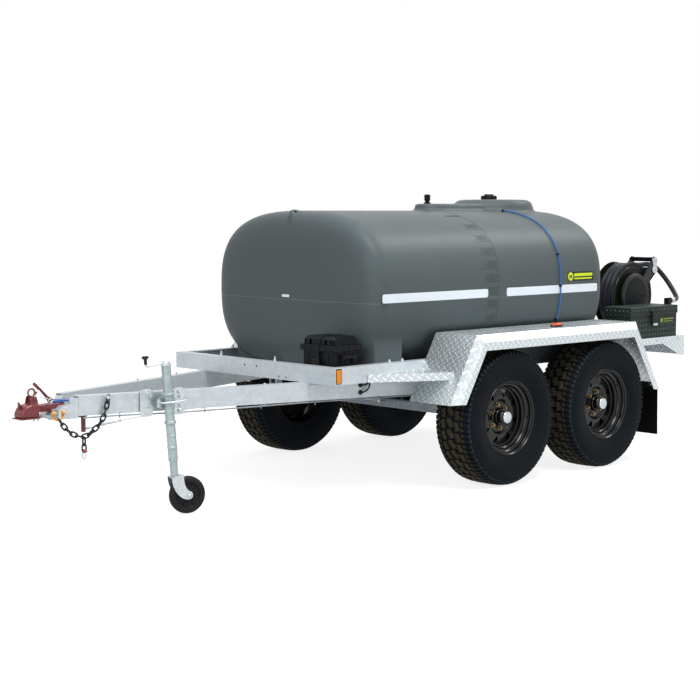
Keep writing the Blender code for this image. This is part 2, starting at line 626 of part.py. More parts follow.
# Leaf springs sit on the axles, held by U-bolts round the beam
for side, tag in ((-1, "near"), (1, "far")):
    for x, way, where in ((AXLE_X[0], -1, "front"), (AXLE_X[1], 1, "rear")):
        seat = TYRE_R + BEAM / 2 + GAP
        def leaf_top(d):
            return seat + 4 * LEAF + (EYE_Z + 0.006 - seat - 4 * LEAF) * (d / SPRING_HALF) ** 2
        leaves = []
        for s, limits in ((way, (SPRING_HALF, 0.25, 0.18, 0.11)), (-way, (0.300, 0.25, 0.18, 0.11))):
            line_up = []
            line_low = []
            for index in range(len(limits)):
                reach = limits[index]
                begin = limits[index + 1] if index + 1 < len(limits) else 0.0
                count = index + 1
                for d in (reach, begin):
                    line_low.append((x + s * d, leaf_top(d) - LEAF * count))
            for d in [limits[0] * k / 6 for k in range(7)]:
                line_up.append((x + s * d, leaf_top(d)))
            leaves.append(line_up + line_low)
        half_a = side_on(leaves[0], side * SPRING_Y - SPRING_W / 2, side * SPRING_Y + SPRING_W / 2)
        half_b = side_on(leaves[1], side * SPRING_Y - SPRING_W / 2, side * SPRING_Y + SPRING_W / 2)
        centre = box((x - 0.03, x + 0.03), (side * SPRING_Y - SPRING_W / 2 + 0.001, side * SPRING_Y + SPRING_W / 2 - 0.001),
                     (seat, seat + 4 * LEAF + 0.006))
        eye_x = x + way * SPRING_HALF
        eye = rod((eye_x, side * SPRING_Y - SPRING_W / 2 + 0.0004, EYE_Z),
                  (eye_x, side * SPRING_Y + SPRING_W / 2 - 0.0004, EYE_Z), 0.016, 12)
        plate_low = box((x - 0.045, x + 0.045), (side * SPRING_Y - 0.040, side * SPRING_Y + 0.040),
                        (TYRE_R - BEAM / 2 - GAP - 0.008, TYRE_R - BEAM / 2 - GAP))
        plate_top = box((x - 0.045, x + 0.045), (side * SPRING_Y - 0.040, side * SPRING_Y + 0.040),
                        (seat + 4 * LEAF + 0.002, seat + 4 * LEAF + 0.010))
        bolts = [box((x + dx - 0.006, x + dx + 0.006), (side * SPRING_Y + dy - 0.006, side * SPRING_Y + dy + 0.006),
                     (TYRE_R - 0.044, seat + 4 * LEAF + 0.018)) for dx in (-0.0335, 0.0335) for dy in (-0.031, 0.031)]
        spring = joined([half_a, half_b, centre, eye, plate_low, plate_top] + bolts)
        spring = cut(spring, [rod((eye_x, side * SPRING_Y - 0.05, EYE_Z),
                                  (eye_x, side * SPRING_Y + 0.05, EYE_Z), 0.008 + FIT, 10)])
        part("spring_%s_%s" % (where, tag), spring, BLACK)
    # Rocker between the two springs of one side
    rx = EYES[1]
    rz = EYE_Z + 0.045
    under = EYE_Z + 0.006 + 0.002
    rocker = side_on([(rx - ROCKER_ARM - 0.045, under + 0.004), (rx - ROCKER_ARM - 0.040, under + 0.020),
                      (rx - 0.03, rz + 0.024), (rx + 0.03, rz + 0.024), (rx + ROCKER_ARM + 0.040, under + 0.020),
                      (rx + ROCKER_ARM + 0.045, under + 0.004), (rx + ROCKER_ARM, under), (rx + 0.05, rz - 0.012),
                      (rx - 0.05, rz - 0.012), (rx - ROCKER_ARM, under)],
                     side * SPRING_Y - SPRING_W / 2, side * SPRING_Y + SPRING_W / 2)
    rocker = cut(rocker, [rod((rx, side * SPRING_Y - 0.05, rz), (rx, side * SPRING_Y + 0.05, rz), 0.008 + FIT, 10)])
    part("rocker_%s" % tag, rocker, ZINC, (rx, side * SPRING_Y, rz))

# Wheels: rim, disc, drum, nuts and hub cap in one piece, and a hollow tyre
def wheel_piece(x, side):
    place = about_y(x, side * WHEEL_Y, TYRE_R)
    if side < 0:
        place = place @ Matrix.Rotation(math.pi, 4, "X")
    w = RIM_W / 2
    barrel = turned([(RIM_R, w), (0.2035, w - 0.012), (0.2020, w - 0.036), (0.176, w - 0.058),
                     (0.176, -w + 0.058), (0.2035, -w + 0.012), (RIM_R, -w),
                     (0.1990, -w), (0.171, -w + 0.052), (0.171, w - 0.052), (0.1990, w)], ROUND, place, True)
    disc = turned([(0.0, w - 0.010), (0.030, w - 0.012), (0.038, DISC_IN + 0.016), (0.090, DISC_IN + 0.012),
                   (0.125, DISC_IN + 0.020), (0.1735, DISC_IN - 0.010), (0.1735, DISC_IN - 0.020),
                   (0.130, DISC_IN - 0.006), (0.128, DISC_IN - 0.060), (0.0, DISC_IN - 0.060)], ROUND, place)
    barrel = joined([barrel, disc])
    cutters = [turned([(0.0, -0.012), (STUB_R + FIT, -0.012), (STUB_R + FIT, -0.20), (0.0, -0.20)], 16, place)]
    for k in range(WINDOWS):
        a = 2 * math.pi * (k + 0.5) / WINDOWS
        spots = []
        for radius, off in ((0.1605, -0.180), (0.1605, 0.180), (0.1047, 0.0)):
            spots.append((radius * math.cos(a + off), radius * math.sin(a + off)))
        cutters.append(outline(spots, place @ Matrix.Translation((0, 0, DISC_IN)), 0.09))
    barrel = cut(barrel, cutters)
    return barrel


def tyre_piece(x, side):
    place = about_y(x, side * WHEEL_Y, TYRE_R)
    w = TYRE_W / 2
    half = [(0.2038, 0.1015), (0.225, 0.110), (0.300, w), (0.375, 0.124), (TYRE_R, 0.095)]
    inner = [(0.385, 0.098), (0.310, 0.119), (0.2038, 0.084)]
    loop = half + [(r, -h) for r, h in reversed(half)] + [(r, -h) for r, h in reversed(inner)] + inner
    return turned(loop, ROUND, place, True)


for side, tag in ((-1, "near"), (1, "far")):
    for x, where in ((AXLE_X[0], "front"), (AXLE_X[1], "rear")):
        hub = (x, side * WHEEL_Y, TYRE_R)
        part("wheel_rim_%s_%s" % (where, tag), wheel_piece(x, side), BLACK, hub)
        part("tyre_%s_%s" % (where, tag), tyre_piece(x, side), RUBBER, hub)

# Tank: rounded section drawn along the trailer, hollow, with feet, turret, neck and lifting lug
def tank_rings(inset, count, stations):
    """Rings of a rounded section from end to end."""
    bm = bmesh.new()
    rings = []
    length = TANK_X1 - TANK_X0 - 2 * inset
    places = [(TANK_X0 + inset + d, s) for d, s in stations]
    places += [(TANK_X0 + inset + length - d, s) for d, s in reversed(stations)]
    for x, scale in places:
        ring = []
        for k in range(count):
            a = 2 * math.pi * (k + 0.5) / count
            c = math.cos(a)
            s = math.sin(a)
            y = math.copysign(abs(c) ** (2 / TANK_POWER), c) * (TANK_HY - inset) * scale
            z = math.copysign(abs(s) ** (2 / TANK_POWER), s) * (TANK_HZ - inset) * scale
            ring.append(bm.verts.new((x, y, TANK_Z + z)))
        rings.append(ring)
    for a, b in zip(rings, rings[1:]):
        for k in range(count):
            bm.faces.new((a[k], a[(k + 1) % count], b[(k + 1) % count], b[k]))
    bm.faces.new(list(reversed(rings[0])))
    bm.faces.new(rings[-1])
    return from_bm(bm)


shell = tank_rings(0.0, 36, ((0.0, 0.62), (0.010, 0.80), (0.026, 0.90), (0.055, 0.962), (0.105, 1.0)))
foot_z = FLOOR_Z + GAP
feet = []
for x0, x1 in ((-0.5475, -0.3275), (1.145, 1.405)):
    for side in (-1, 1):
        foot = box((x0, x1), (min(side * 0.40, side * 0.652), max(side * 0.40, side * 0.652)), (foot_z, 0.90))
        feet.append(rounded(foot, 0.02, 1))
turret = turned([(0.0, TURRET_TOP), (0.205, TURRET_TOP), (0.243, TURRET_TOP - 0.010), (TURRET_R, TURRET_TOP - 0.035),
                 (TURRET_R + 0.012, 1.585), (0.0, 1.585)], 28, Matrix.Translation((TURRET_X, 0, 0)))
saddle = plan([(1.00, -0.13), (0.62, -0.11), (0.55, -0.085), (0.515, -0.045), (0.515, 0.045), (0.55, 0.085),
               (0.62, 0.11), (1.00, 0.13)], 1.56, 1.650)
saddle = rounded(saddle, 0.012, 1, 50)
lug = side_on([(-0.610, 1.56), (-0.606, 1.598), (-0.59, 1.610), (-0.56, 1.612), (-0.52, 1.59)], -0.016, 0.016)
neck = rod((FILL_X, 0, TURRET_TOP - 0.01), (FILL_X, 0, TURRET_TOP + 0.014), NECK_R, 20)
clips = [box((1.0365, 1.0565), (-TANK_HY - 0.0034, -TANK_HY + 0.006), (z - 0.012, z + 0.012)) for z in (TANK_Z,)]
shell = joined([shell] + feet + [turret, saddle, lug, neck] + clips)
hollow = tank_rings(TANK_WALL, 24, ((0.0, 0.70), (0.030, 0.92), (0.100, 0.995)))
dome = rod((TURRET_X, 0, 1.50), (TURRET_X, 0, TURRET_TOP - TANK_WALL), TURRET_R - 0.03, 20)
mouth = rod((FILL_X, 0, TURRET_TOP - 0.03), (FILL_X, 0, TURRET_TOP + 0.03), NECK_R - 0.006, 20)
eyelet = rod((-0.578, -0.03, 1.597), (-0.578, 0.03, 1.597), 0.008, 10)
seat = rod((0.5765, 0, 1.640), (0.5765, 0, 1.70), 0.0125, 12)
shell = cut(shell, [joined([hollow, dome]), mouth, eyelet, seat])
part("tank", shell, POLY)

# Filler cap over the neck
cap = turned([(0.0, 0.027), (CAP_R - 0.005, 0.027), (CAP_R, 0.022), (CAP_R, GAP), (NECK_R + FIT, GAP),
              (NECK_R + FIT, 0.0145), (0.0, 0.0145)], 20, Matrix.Translation((FILL_X, 0, TURRET_TOP)))
ridge = box((FILL_X - 0.040, FILL_X + 0.040), (-0.006, 0.006), (TURRET_TOP + 0.026, TURRET_TOP + 0.036))
part("filler_cap", joined([cap, rounded(ridge, 0.002, 1)]), DARK, (FILL_X, 0, TURRET_TOP))

# Breather in its seat on the front of the saddle
breather = turned([(0.0, 0.058), (0.010, 0.056), (0.017, 0.046), (0.017, 0.024), (0.011, 0.020), (0.011, -0.009),
                   (0.0, -0.009)], 12, Matrix.Translation((0.5765, 0, 1.650)))
breather = joined([breather, rod((0.5765, 0, 1.6503), (0.5765, 0, 1.657), 0.019, 6)])
part("breather", breather, DARK)

# Sight tube down the near side
def tank_side(z, out):
    """Near side of the tank at height z, moved out along the surface's normal."""
    dz = (z - TANK_Z) / TANK_HZ
    dy = (1 - abs(dz) ** TANK_POWER) ** (1 / TANK_POWER)
    ny = dy ** (TANK_POWER - 1) / TANK_HY
    nz = math.copysign(abs(dz) ** (TANK_POWER - 1), dz) / TANK_HZ
    size = math.hypot(ny, nz)
    return -(dy * TANK_HY + out * ny / size), z + out * nz / size


line = []
for k in range(15):
    t = k / 14
    y, z = tank_side(0.914 + (1.5955 - 0.914) * math.sin(t * math.pi / 2) ** 1.15, 0.0095)
    line.append((1.0465, y, z))
part("sight_tube", tube(line, 0.006), BLUE)

# Battery box, its lid and the strap over the lid
bx, by = BATT_X, BATT_Y
case = rounded(box(bx, by, (foot_z, BATT_TOP + 0.02)), 0.006, 1)
case = cut(case, [box((bx[0] + BOX_WALL, bx[1] - BOX_WALL), (by[0] + BOX_WALL, by[1] - BOX_WALL),
                      (foot_z + BOX_WALL, BATT_TOP + 0.05)),
                  box((bx[0] - 0.1, bx[1] + 0.1), (by[0] - 0.1, by[1] + 0.1), (BATT_TOP, BATT_TOP + 0.1))])
grips = [rounded(box(((bx[0] + bx[1]) / 2 - 0.04, (bx[0] + bx[1]) / 2 + 0.04), (by[0] - 0.012, by[0] + 0.002),
                     (0.785, 0.803)), 0.003, 1)]
part("battery_box", joined([case] + grips), DARK)
lid = box((bx[0] - 0.012, bx[1] + 0.012), (by[0] - 0.012, by[1] + 0.012), (BATT_TOP + GAP, 0.856))
crown = rounded(box((bx[0] + 0.001, bx[1] - 0.001), (by[0] + 0.001, by[1] - 0.001), (0.826, 0.905)), 0.018, 1)
lid = joined([rounded(lid, 0.003, 1), crown])
lid = cut(lid, [box((bx[0] + 0.008, bx[1] - 0.008), (by[0] + 0.008, by[1] - 0.008), (0.80, 0.884))])
part("battery_lid", lid, DARK, ((bx[0] + bx[1]) / 2, (by[0] + by[1]) / 2, BATT_TOP))
mid = (by[0] + by[1]) / 2
up = [(bx[0] - 0.0145, 0.720), (bx[0] - 0.0145, 0.8590), (bx[0] - 0.0015, 0.8590), (bx[0] - 0.0015, 0.8895),
      (bx[0] + 0.0170, 0.9073), (bx[1] - 0.0170, 0.9073), (bx[1] + 0.0017, 0.8885), (bx[1] + 0.0017, 0.8580)]
back_line = [(bx[0] - 0.0125, 0.720), (bx[0] - 0.0125, 0.8570), (bx[0] + 0.0005, 0.8570), (bx[0] + 0.0005, 0.8885),
             (bx[0] + 0.0180, 0.9053), (bx[1] - 0.0180, 0.9053), (bx[1] - 0.0003, 0.8877), (bx[1] - 0.0003, 0.8580)]
strap = side_on(up + list(reversed(back_line)), mid - 0.020, mid + 0.020)
buckle = box((bx[0] - 0.0215, bx[0] - 0.0140), (mid - 0.026, mid + 0.026), (0.735, 0.775))
part("battery_strap", joined([strap, buckle]), DARK)

# Pump box with hinged lid and latch
bx, by = PUMP_X, PUMP_Y
base = PLAT_Z + GAP
case = box(bx, by, (base, PUMP_TOP))
HINGE_Y = by[1] + LID_OVER + 0.0065
HINGE_Z = PUMP_LID_TOP - KNUCKLE_R
leafs = []
for x0, x1 in ((bx[0] + 0.06, bx[0] + 0.11), (bx[1] - 0.11, bx[1] - 0.06)):
    leafs.append(rod((x0, HINGE_Y, HINGE_Z), (x1, HINGE_Y, HINGE_Z), KNUCKLE_R, 12))
    leafs.append(box((x0 + 0.0004, x1 - 0.0004), (HINGE_Y - 0.002, HINGE_Y + 0.002), (PUMP_TOP - 0.018, HINGE_Z)))
    leafs.append(box((x0 + 0.0008, x1 - 0.0008), (by[1] - 0.001, HINGE_Y + 0.001), (PUMP_TOP - 0.017, PUMP_TOP - 0.005)))
case = joined([case] + leafs)
catch = box((LATCH_X - 0.026, LATCH_X + 0.026), (by[0] - 0.018, by[0] + 0.001), (0.828, 0.844))
cup = [rod((2.3905, -0.610, 0.760), (2.3905, -0.610, 0.850), 0.0230, 12),
       box((bx[1] - 0.001, 2.372), (-0.624, -0.596), (0.790, 0.830))]
case = joined([case, catch] + cup)
case = cut(case, [box((bx[0] + BOX_WALL, bx[1] - BOX_WALL), (by[0] + BOX_WALL, by[1] - BOX_WALL),
                      (base + BOX_WALL, PUMP_TOP + 0.05)),
                  rod((2.3905, -0.610, 0.764), (2.3905, -0.610, 0.90), 0.0200, 12)])
part("pump_box", case, BLACK)

lid = box((bx[0] - LID_OVER, bx[1] + LID_OVER), (by[0] - LID_OVER, by[1] + LID_OVER), (PUMP_TOP + GAP, PUMP_LID_TOP))
lid = rounded(lid, 0.004, 1)
lid = cut(lid, [box((bx[0] + 0.002, bx[1] - 0.002), (by[0] + 0.002, by[1] - 0.002), (0.88, PUMP_LID_TOP - BOX_WALL))])
knuckles = []
for x0, x1 in ((bx[0] + 0.1106, bx[0] + 0.150), (bx[1] - 0.150, bx[1] - 0.1106)):
    knuckles.append(rod((x0, HINGE_Y, HINGE_Z), (x1, HINGE_Y, HINGE_Z), KNUCKLE_R, 12))
    knuckles.append(box((x0 + 0.0004, x1 - 0.0004), (by[1] + LID_OVER - 0.003, HINGE_Y),
                        (HINGE_Z - 0.003, HINGE_Z + 0.003)))
ear_y = by[0] - LID_OVER
LATCH = (LATCH_X, ear_y - 0.008, LATCH_Z)
ear = LATCH_HALF + 0.003
ears = [box((LATCH_X + s * ear - 0.002, LATCH_X + s * ear + 0.002), (ear_y - 0.014, ear_y + 0.001),
            (LATCH_Z - 0.008, LATCH_Z + 0.008)) for s in (-1, 1)]
pin = rod((LATCH_X - ear, LATCH[1], LATCH_Z), (LATCH_X + ear, LATCH[1], LATCH_Z), 0.0025, 10)
lid = joined([lid] + knuckles + ears + [pin])
part("pump_box_lid", lid, BLACK, ((bx[0] + bx[1]) / 2, HINGE_Y, HINGE_Z))

strip = box((LATCH_X - LATCH_HALF, LATCH_X + LATCH_HALF), (ear_y - 0.0130, ear_y - 0.0040), (0.8455, LATCH_Z + 0.005))
strip = cut(strip, [rod((LATCH_X - ear, LATCH[1], LATCH_Z), (LATCH_X + ear, LATCH[1], LATCH_Z), 0.0025 + FIT, 10)])
part("pump_box_latch", strip, RUBBER, LATCH)

# Pump inside the box
floor_z = base + BOX_WALL + GAP
motor = rod((1.92, -0.61, 0.815), (2.09, -0.61, 0.815), 0.050, 16)
body = box((2.07, 2.17), (-0.668, -0.553), (floor_z, 0.872))
foot = box((1.93, 2.12), (-0.655, -0.565), (floor_z, floor_z + 0.026))
part("fuel_pump", joined([motor, body, foot]), RED)

# Hose reel: stand, drum and hose
y0, y1 = REEL_Y
stand = []
foot_z = PLAT_Z + GAP
near_plate = y0 - STAND_NEAR
far_plate = y1 + STAND_FAR
stand.append(box((2.060, 2.330), (near_plate - 0.006, far_plate + 0.006), (foot_z, foot_z + 0.005)))
for edge in (near_plate, far_plate):
    shape = [(2.075, foot_z), (2.315, foot_z), (2.290, 0.98), (2.290, REEL_Z + 0.02), (2.452, ROLLER_Z - 0.055),
             (2.458, ROLLER_Z + 0.050), (2.425, ROLLER_Z + 0.058), (2.400, ROLLER_Z + 0.030), (2.245, REEL_Z + 0.075),
             (2.130, REEL_Z + 0.055), (2.100, REEL_Z)]
    stand.append(side_on(shape, edge - 0.0025, edge + 0.0025))
shaft = rod((REEL_X, near_plate - 0.018, REEL_Z), (REEL_X, far_plate + 0.008, REEL_Z), REEL_SHAFT, 12)
cover = turned([(0.0, 0.0), (COVER_R - 0.012, 0.0), (COVER_R, 0.008), (COVER_R, 0.0145), (0.0, 0.0145)], 24,
               about_y(REEL_X, near_plate - 0.0165, REEL_Z))
bar = rod((2.425, near_plate - 0.001, ROLLER_Z + 0.046), (2.425, far_plate + 0.001, ROLLER_Z + 0.046), 0.006, 12)
pins = [rod((ROLLER_X, near_plate - 0.001, z), (ROLLER_X, far_plate + 0.001, z), 0.004, 10)
        for z in (ROLLER_Z - ROLLER_GAP / 2 - ROLLER_R, ROLLER_Z + ROLLER_GAP / 2 + ROLLER_R)]
stand = joined(stand + [shaft, cover, bar] + pins)
part("reel_stand", stand, BLACK)

core = COIL_R * math.cos(math.pi / 24) - HOSE_R - FIT
width = y1 - y0
drum = turned([(REEL_SHAFT + FIT, 0.0), (REEL_R, 0.0), (REEL_R, 0.003), (core, 0.003), (core, width - 0.003),
               (REEL_R, width - 0.003), (REEL_R, width), (REEL_SHAFT + FIT, width), (0.030, width - 0.02),
               (core - 0.006, width - 0.006), (core - 0.006, 0.006), (0.030, 0.02)], 28,
              about_y(REEL_X, y0, REEL_Z), True)
part("reel_drum", drum, BLACK, (REEL_X, (y0 + y1) / 2, REEL_Z))

pitch = (y1 - y0 - 0.006 - 2 * HOSE_R - 0.002) / (LOOPS - 1)
coil = []
start = math.pi / 2
turns = LOOPS - 1
steps = 24
for k in range(turns * steps + 1):
    a = start + 2 * math.pi * k / steps
    coil.append(Vector((REEL_X + COIL_R * math.cos(a), y0 + 0.003 + HOSE_R + 0.001 + pitch * k / steps,
                        REEL_Z + COIL_R * math.sin(a))))
exit_at = coil[0] + Vector((1, 0, 0)) * 2 * HOSE_R
coil = [coil[0] + Vector((1, 0, 0)) * 0.14] + coil + [coil[-1] + Vector((-1, 0, 0)) * 2 * HOSE_R]
least = min((coil[i] - coil[j]).length for i in range(len(coil)) for j in range(i + steps // 2, len(coil)))
print("wound hose: least gap between loops %.2f mm" % ((least - 2 * HOSE_R) * 1000))
SWEEP_R = COIL_R + HOSE_R + 0.001
wound = combined(tube(coil, HOSE_R), [rod((REEL_X, y0 - 0.05, REEL_Z), (REEL_X, y1 + 0.05, REEL_Z), SWEEP_R, 96)],
                 "INTERSECT")
part("wound_hose", wound, RUBBER, (REEL_X, (y0 + y1) / 2, REEL_Z))

roller_run = far_plate - near_plate - 0.014
for z, name in ((ROLLER_Z - ROLLER_GAP / 2 - ROLLER_R, "guide_roller_lower"),
                (ROLLER_Z + ROLLER_GAP / 2 + ROLLER_R, "guide_roller_upper")):
    roller = turned([(0.004 + FIT, 0.0), (ROLLER_R, 0.0), (ROLLER_R, roller_run), (0.004 + FIT, roller_run)],
                    16, about_y(ROLLER_X, near_plate + 0.007, z), True)
    part(name, roller, ZINC, (ROLLER_X, (y0 + y1) / 2, z))

# Free hose from the drum through the rollers and round to the nozzle
route = [exit_at + Vector((-0.034, 0, 0)), exit_at, exit_at + Vector((0.036, 0, 0)), (2.345, -0.412, ROLLER_Z),
         (ROLLER_X, -0.405, ROLLER_Z),
         (2.500, -0.415, 1.212), (2.556, -0.450, 1.150), (2.578, -0.505, 1.070), (2.545, -0.575, 1.000),
         (2.485, -0.606, 0.981), (2.4590, -0.610, 0.980), (2.4235, -0.610, 0.980)]
HOSE_END = (2.4235, -0.610, 0.980)
spots, length = on_line([tuple(p) for p in route], 16)
print("free hose length %.3f m" % length)
free = cut(tube(spots, HOSE_R, detail=2), [rod((REEL_X, y0 - 0.05, REEL_Z), (REEL_X, y1 + 0.05, REEL_Z),
                                                 SWEEP_R + 0.0008, 96)])
part("delivery_hose", free, RUBBER, HOSE_END)

# Nozzle resting in the cup behind the pump box
nozzle = [rod((2.3905, -0.610, 0.768), (2.3905, -0.610, 0.880), 0.0110, 14),
          rod((2.3905, -0.610, 0.8503), (2.3905, -0.610, 0.960), 0.0215, 16),
          rod((2.3750, -0.610, 0.980), (2.4225, -0.610, 0.980), 0.0190, 16),
          box((2.372, 2.409), (-0.6285, -0.5915), (0.945, 0.9965))]
grip_bar = tube([(2.405, -0.610, 0.955), (2.430, -0.610, 0.950), (2.452, -0.610, 0.925), (2.452, -0.610, 0.885),
                 (2.430, -0.610, 0.868), (2.405, -0.610, 0.872)], 0.0045)
body = joined(nozzle + [grip_bar])
slot = box((2.395, 2.418), (-0.6145, -0.6055), (0.872, 0.945))
body = cut(body, [slot])
part("nozzle", body, DARK)
trigger = side_on([(2.396, 0.941), (2.404, 0.943), (2.424, 0.936), (2.432, 0.905), (2.430, 0.884), (2.425, 0.884),
                   (2.425, 0.904), (2.417, 0.928), (2.400, 0.930)], -0.6135, -0.6065)
part("nozzle_trigger", trigger, ZINC, (2.400, -0.610, 0.936))

# Jockey wheel, built along its post and set at the drawbar's near face
d = Vector((1.0, -DRAW_SLOPE, 0.0)).normalized()
up = (POST_AT - POST_FOOT).normalized()
out = d.cross(up).normalized()
if out.y > 0:
    out = -out
fore = up.cross(out).normalized()
if fore.x < 0:
    fore = -fore
frame = Matrix((fore, out, up)).transposed().to_4x4()
frame = Matrix.Translation(POST_AT) @ frame
reach = (abs(POST_AT.y) - draw_half(POST_AT.x)) / DRAW_RUN


def posed(ob):
    ob.data.transform(frame)
    bm = bmesh.new()
    bm.from_mesh(ob.data)
    bmesh.ops.recalc_face_normals(bm, faces=bm.faces)
    bm.to_mesh(ob.data)
    bm.free()
    return ob


normal = Vector((-DRAW_SLOPE, -1.0, 0)).normalized()
flat = Matrix((d, -normal, Vector((0, 0, 1)))).transposed().to_4x4()
flat = Matrix.Translation(POST_AT) @ flat
plate_in = reach - GAP
base_plate = box((-0.105, 0.105), (plate_in - 0.008, plate_in), (-0.040, 0.042), flat)
bolts = [rod(flat @ Vector((x, plate_in - 0.007, z)), flat @ Vector((x, plate_in - 0.016, z)), 0.009, 6)
         for x in (-0.085, 0.085) for z in (-0.022, 0.024)]
boss = rod(flat @ Vector((0, plate_in - 0.005, 0)), flat @ Vector((0, plate_in - 0.030, 0)), 0.030, 20)
part("jockey_bracket", joined([base_plate, boss] + bolts), ZINC)

post = rod((0, 0, -POST_DOWN), (0, 0, POST_UP), POST_R, 16)
collars = [rod((0, 0, z - 0.006), (0, 0, z + 0.006), 0.032, 16) for z in (0.050, -0.100)]
post = joined([post] + collars)
post = posed(cut(post, [rod((0, 0, -POST_DOWN - 0.01), (0, 0, POST_UP + 0.01), POST_BORE, 16)]))
sleeve_depth = plate_in - 0.030 - GAP
carrier = box((-0.045, 0.045), (0.0230, sleeve_depth), (-0.030, 0.030), flat)
bore_cut = posed(rod((0, 0, -0.2), (0, 0, 0.15), POST_BORE + 0.0015, 16))
carrier = cut(carrier, [bore_cut])
part("jockey_tube", joined([post, carrier]), ZINC, POST_AT)

leg = posed(rod((0, 0, -0.385), (0, 0, 0.050), LEG_R, 16))
part("jockey_leg", leg, ZINC, POST_AT)

crank = [turned([(0.0, POST_UP + 0.024), (0.022, POST_UP + 0.020), (0.027, POST_UP + 0.010), (0.027, POST_UP + GAP),
                 (0.0, POST_UP + GAP)], 20, Matrix.Identity(4)),
         rod((0, 0, POST_UP + 0.012), (-0.112, 0, POST_UP + 0.012), 0.0055, 10),
         rod((-0.110, 0, POST_UP + 0.006), (-0.110, 0, POST_UP + 0.064), 0.011, 12)]
part("jockey_crank", posed(joined(crank)), ZINC, frame @ Vector((0, 0, POST_UP)))

centre_local = Vector((TRAIL, 0, -0.498))
centre = frame @ centre_local
WHEEL_R = centre.z
fork = [rod((0, 0, -0.3853), (0, 0, -0.389), 0.025, 16),
        box((-0.028, 0.048), (-0.036, 0.036), (-0.3925, -0.3862))]
for s in (-1, 1):
    fork.append(side_on([(-0.027, -0.3872), (0.047, -0.3872), (TRAIL + 0.018, -0.485), (TRAIL + 0.016, -0.512),
                         (TRAIL - 0.016, -0.512)], s * 0.0355, s * 0.0315))
fork.append(rod((TRAIL, -0.042, -0.498), (TRAIL, 0.042, -0.498), 0.007, 10))
part("jockey_fork", posed(joined(fork)), ZINC, frame @ Vector((0, 0, -0.385)))

wheel = turned([(0.0076, 0.028), (0.030, 0.028), (0.036, 0.015), (0.066, 0.015), (WHEEL_R - 0.014, 0.026),
                (WHEEL_R, 0.012), (WHEEL_R, -0.012), (WHEEL_R - 0.014, -0.026), (0.066, -0.015),
                (0.036, -0.015), (0.030, -0.028), (0.0076, -0.028)], 20,
               Matrix.Translation(centre_local) @ Matrix.Rotation(math.radians(-90), 4, "X")
               @ Matrix.Rotation(math.radians(90), 4, "Z"), True)
part("jockey_wheel", posed(wheel), RUBBER, centre)

bpy.context.view_layer.update()
low = Vector((9, 9, 9))
high = Vector((-9, -9, -9))
for ob in PARTS.objects:
    if ob.name == "delivery_hose":
        continue
    for corner in ob.data.vertices:
        spot = ob.matrix_world @ corner.co
        low = Vector(map(min, low, spot))
        high = Vector(map(max, high, spot))
print("extent", tuple(round(v, 4) for v in low), tuple(round(v, 4) for v in high))
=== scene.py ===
from math import copysign, cos, hypot, pi, radians, sin, sqrt

import bmesh
import bpy
from mathutils import Matrix, Vector


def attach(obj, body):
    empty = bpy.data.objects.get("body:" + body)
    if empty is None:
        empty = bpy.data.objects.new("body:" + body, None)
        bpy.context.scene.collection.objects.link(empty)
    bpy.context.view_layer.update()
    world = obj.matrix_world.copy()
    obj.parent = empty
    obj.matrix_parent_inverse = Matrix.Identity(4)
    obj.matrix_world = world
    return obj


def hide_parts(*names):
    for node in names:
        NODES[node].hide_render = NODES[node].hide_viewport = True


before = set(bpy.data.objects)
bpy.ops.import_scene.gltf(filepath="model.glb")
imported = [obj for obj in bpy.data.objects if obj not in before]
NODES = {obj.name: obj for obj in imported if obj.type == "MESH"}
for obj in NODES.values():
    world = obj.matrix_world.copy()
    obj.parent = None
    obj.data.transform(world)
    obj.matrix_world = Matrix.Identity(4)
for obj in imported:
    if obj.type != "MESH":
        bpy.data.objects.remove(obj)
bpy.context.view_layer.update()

SIDES = ((-1, "near"), (1, "far"))
HERE = Matrix.Identity(4)
STAND = Matrix.Rotation(pi / 2, 4, "X")
BEVEL_ANGLE = 38
CAD_BEVEL_ANGLE = 50
move = Matrix.Translation


def V(*place):
    return Vector(place)


def mm(*values, by=2):
    """Points of two or more numbers each, given one after another in millimetres."""
    return [tuple(v / 1000 for v in values[i:i + by]) for i in range(0, len(values), by)]


def power(value, exponent):
    """The size of value raised to exponent, with the sign that value has."""
    return copysign(abs(value) ** exponent, value)


def circle(count, rx, ry, cx=0.0, cy=0.0, first=0.0):
    """Points on an ellipse."""
    angles = [2 * pi * (k + first) / count for k in range(count)]
    return [(cx + rx * cos(a), cy + ry * sin(a)) for a in angles]


# Camera
EYE = (-6.5915, -6.652, 1.596)
YAW, PITCH = radians(45.76), radians(-5.2)
ahead = V(cos(YAW) * cos(PITCH), sin(YAW) * cos(PITCH), sin(PITCH))
side = ahead.cross(V(0, 0, 1)).normalized()
camera = bpy.data.objects.new("camera", bpy.data.cameras.new("camera"))
camera.data.lens = 78.09
camera.data.sensor_width = 36.0
camera.data.clip_end = 100.0
camera.matrix_world = move(EYE) @ Matrix((side, side.cross(ahead), -ahead)).transposed().to_4x4()
bpy.context.scene.collection.objects.link(camera)
bpy.context.scene.camera = camera
bpy.context.scene.view_settings.view_transform = "Standard"


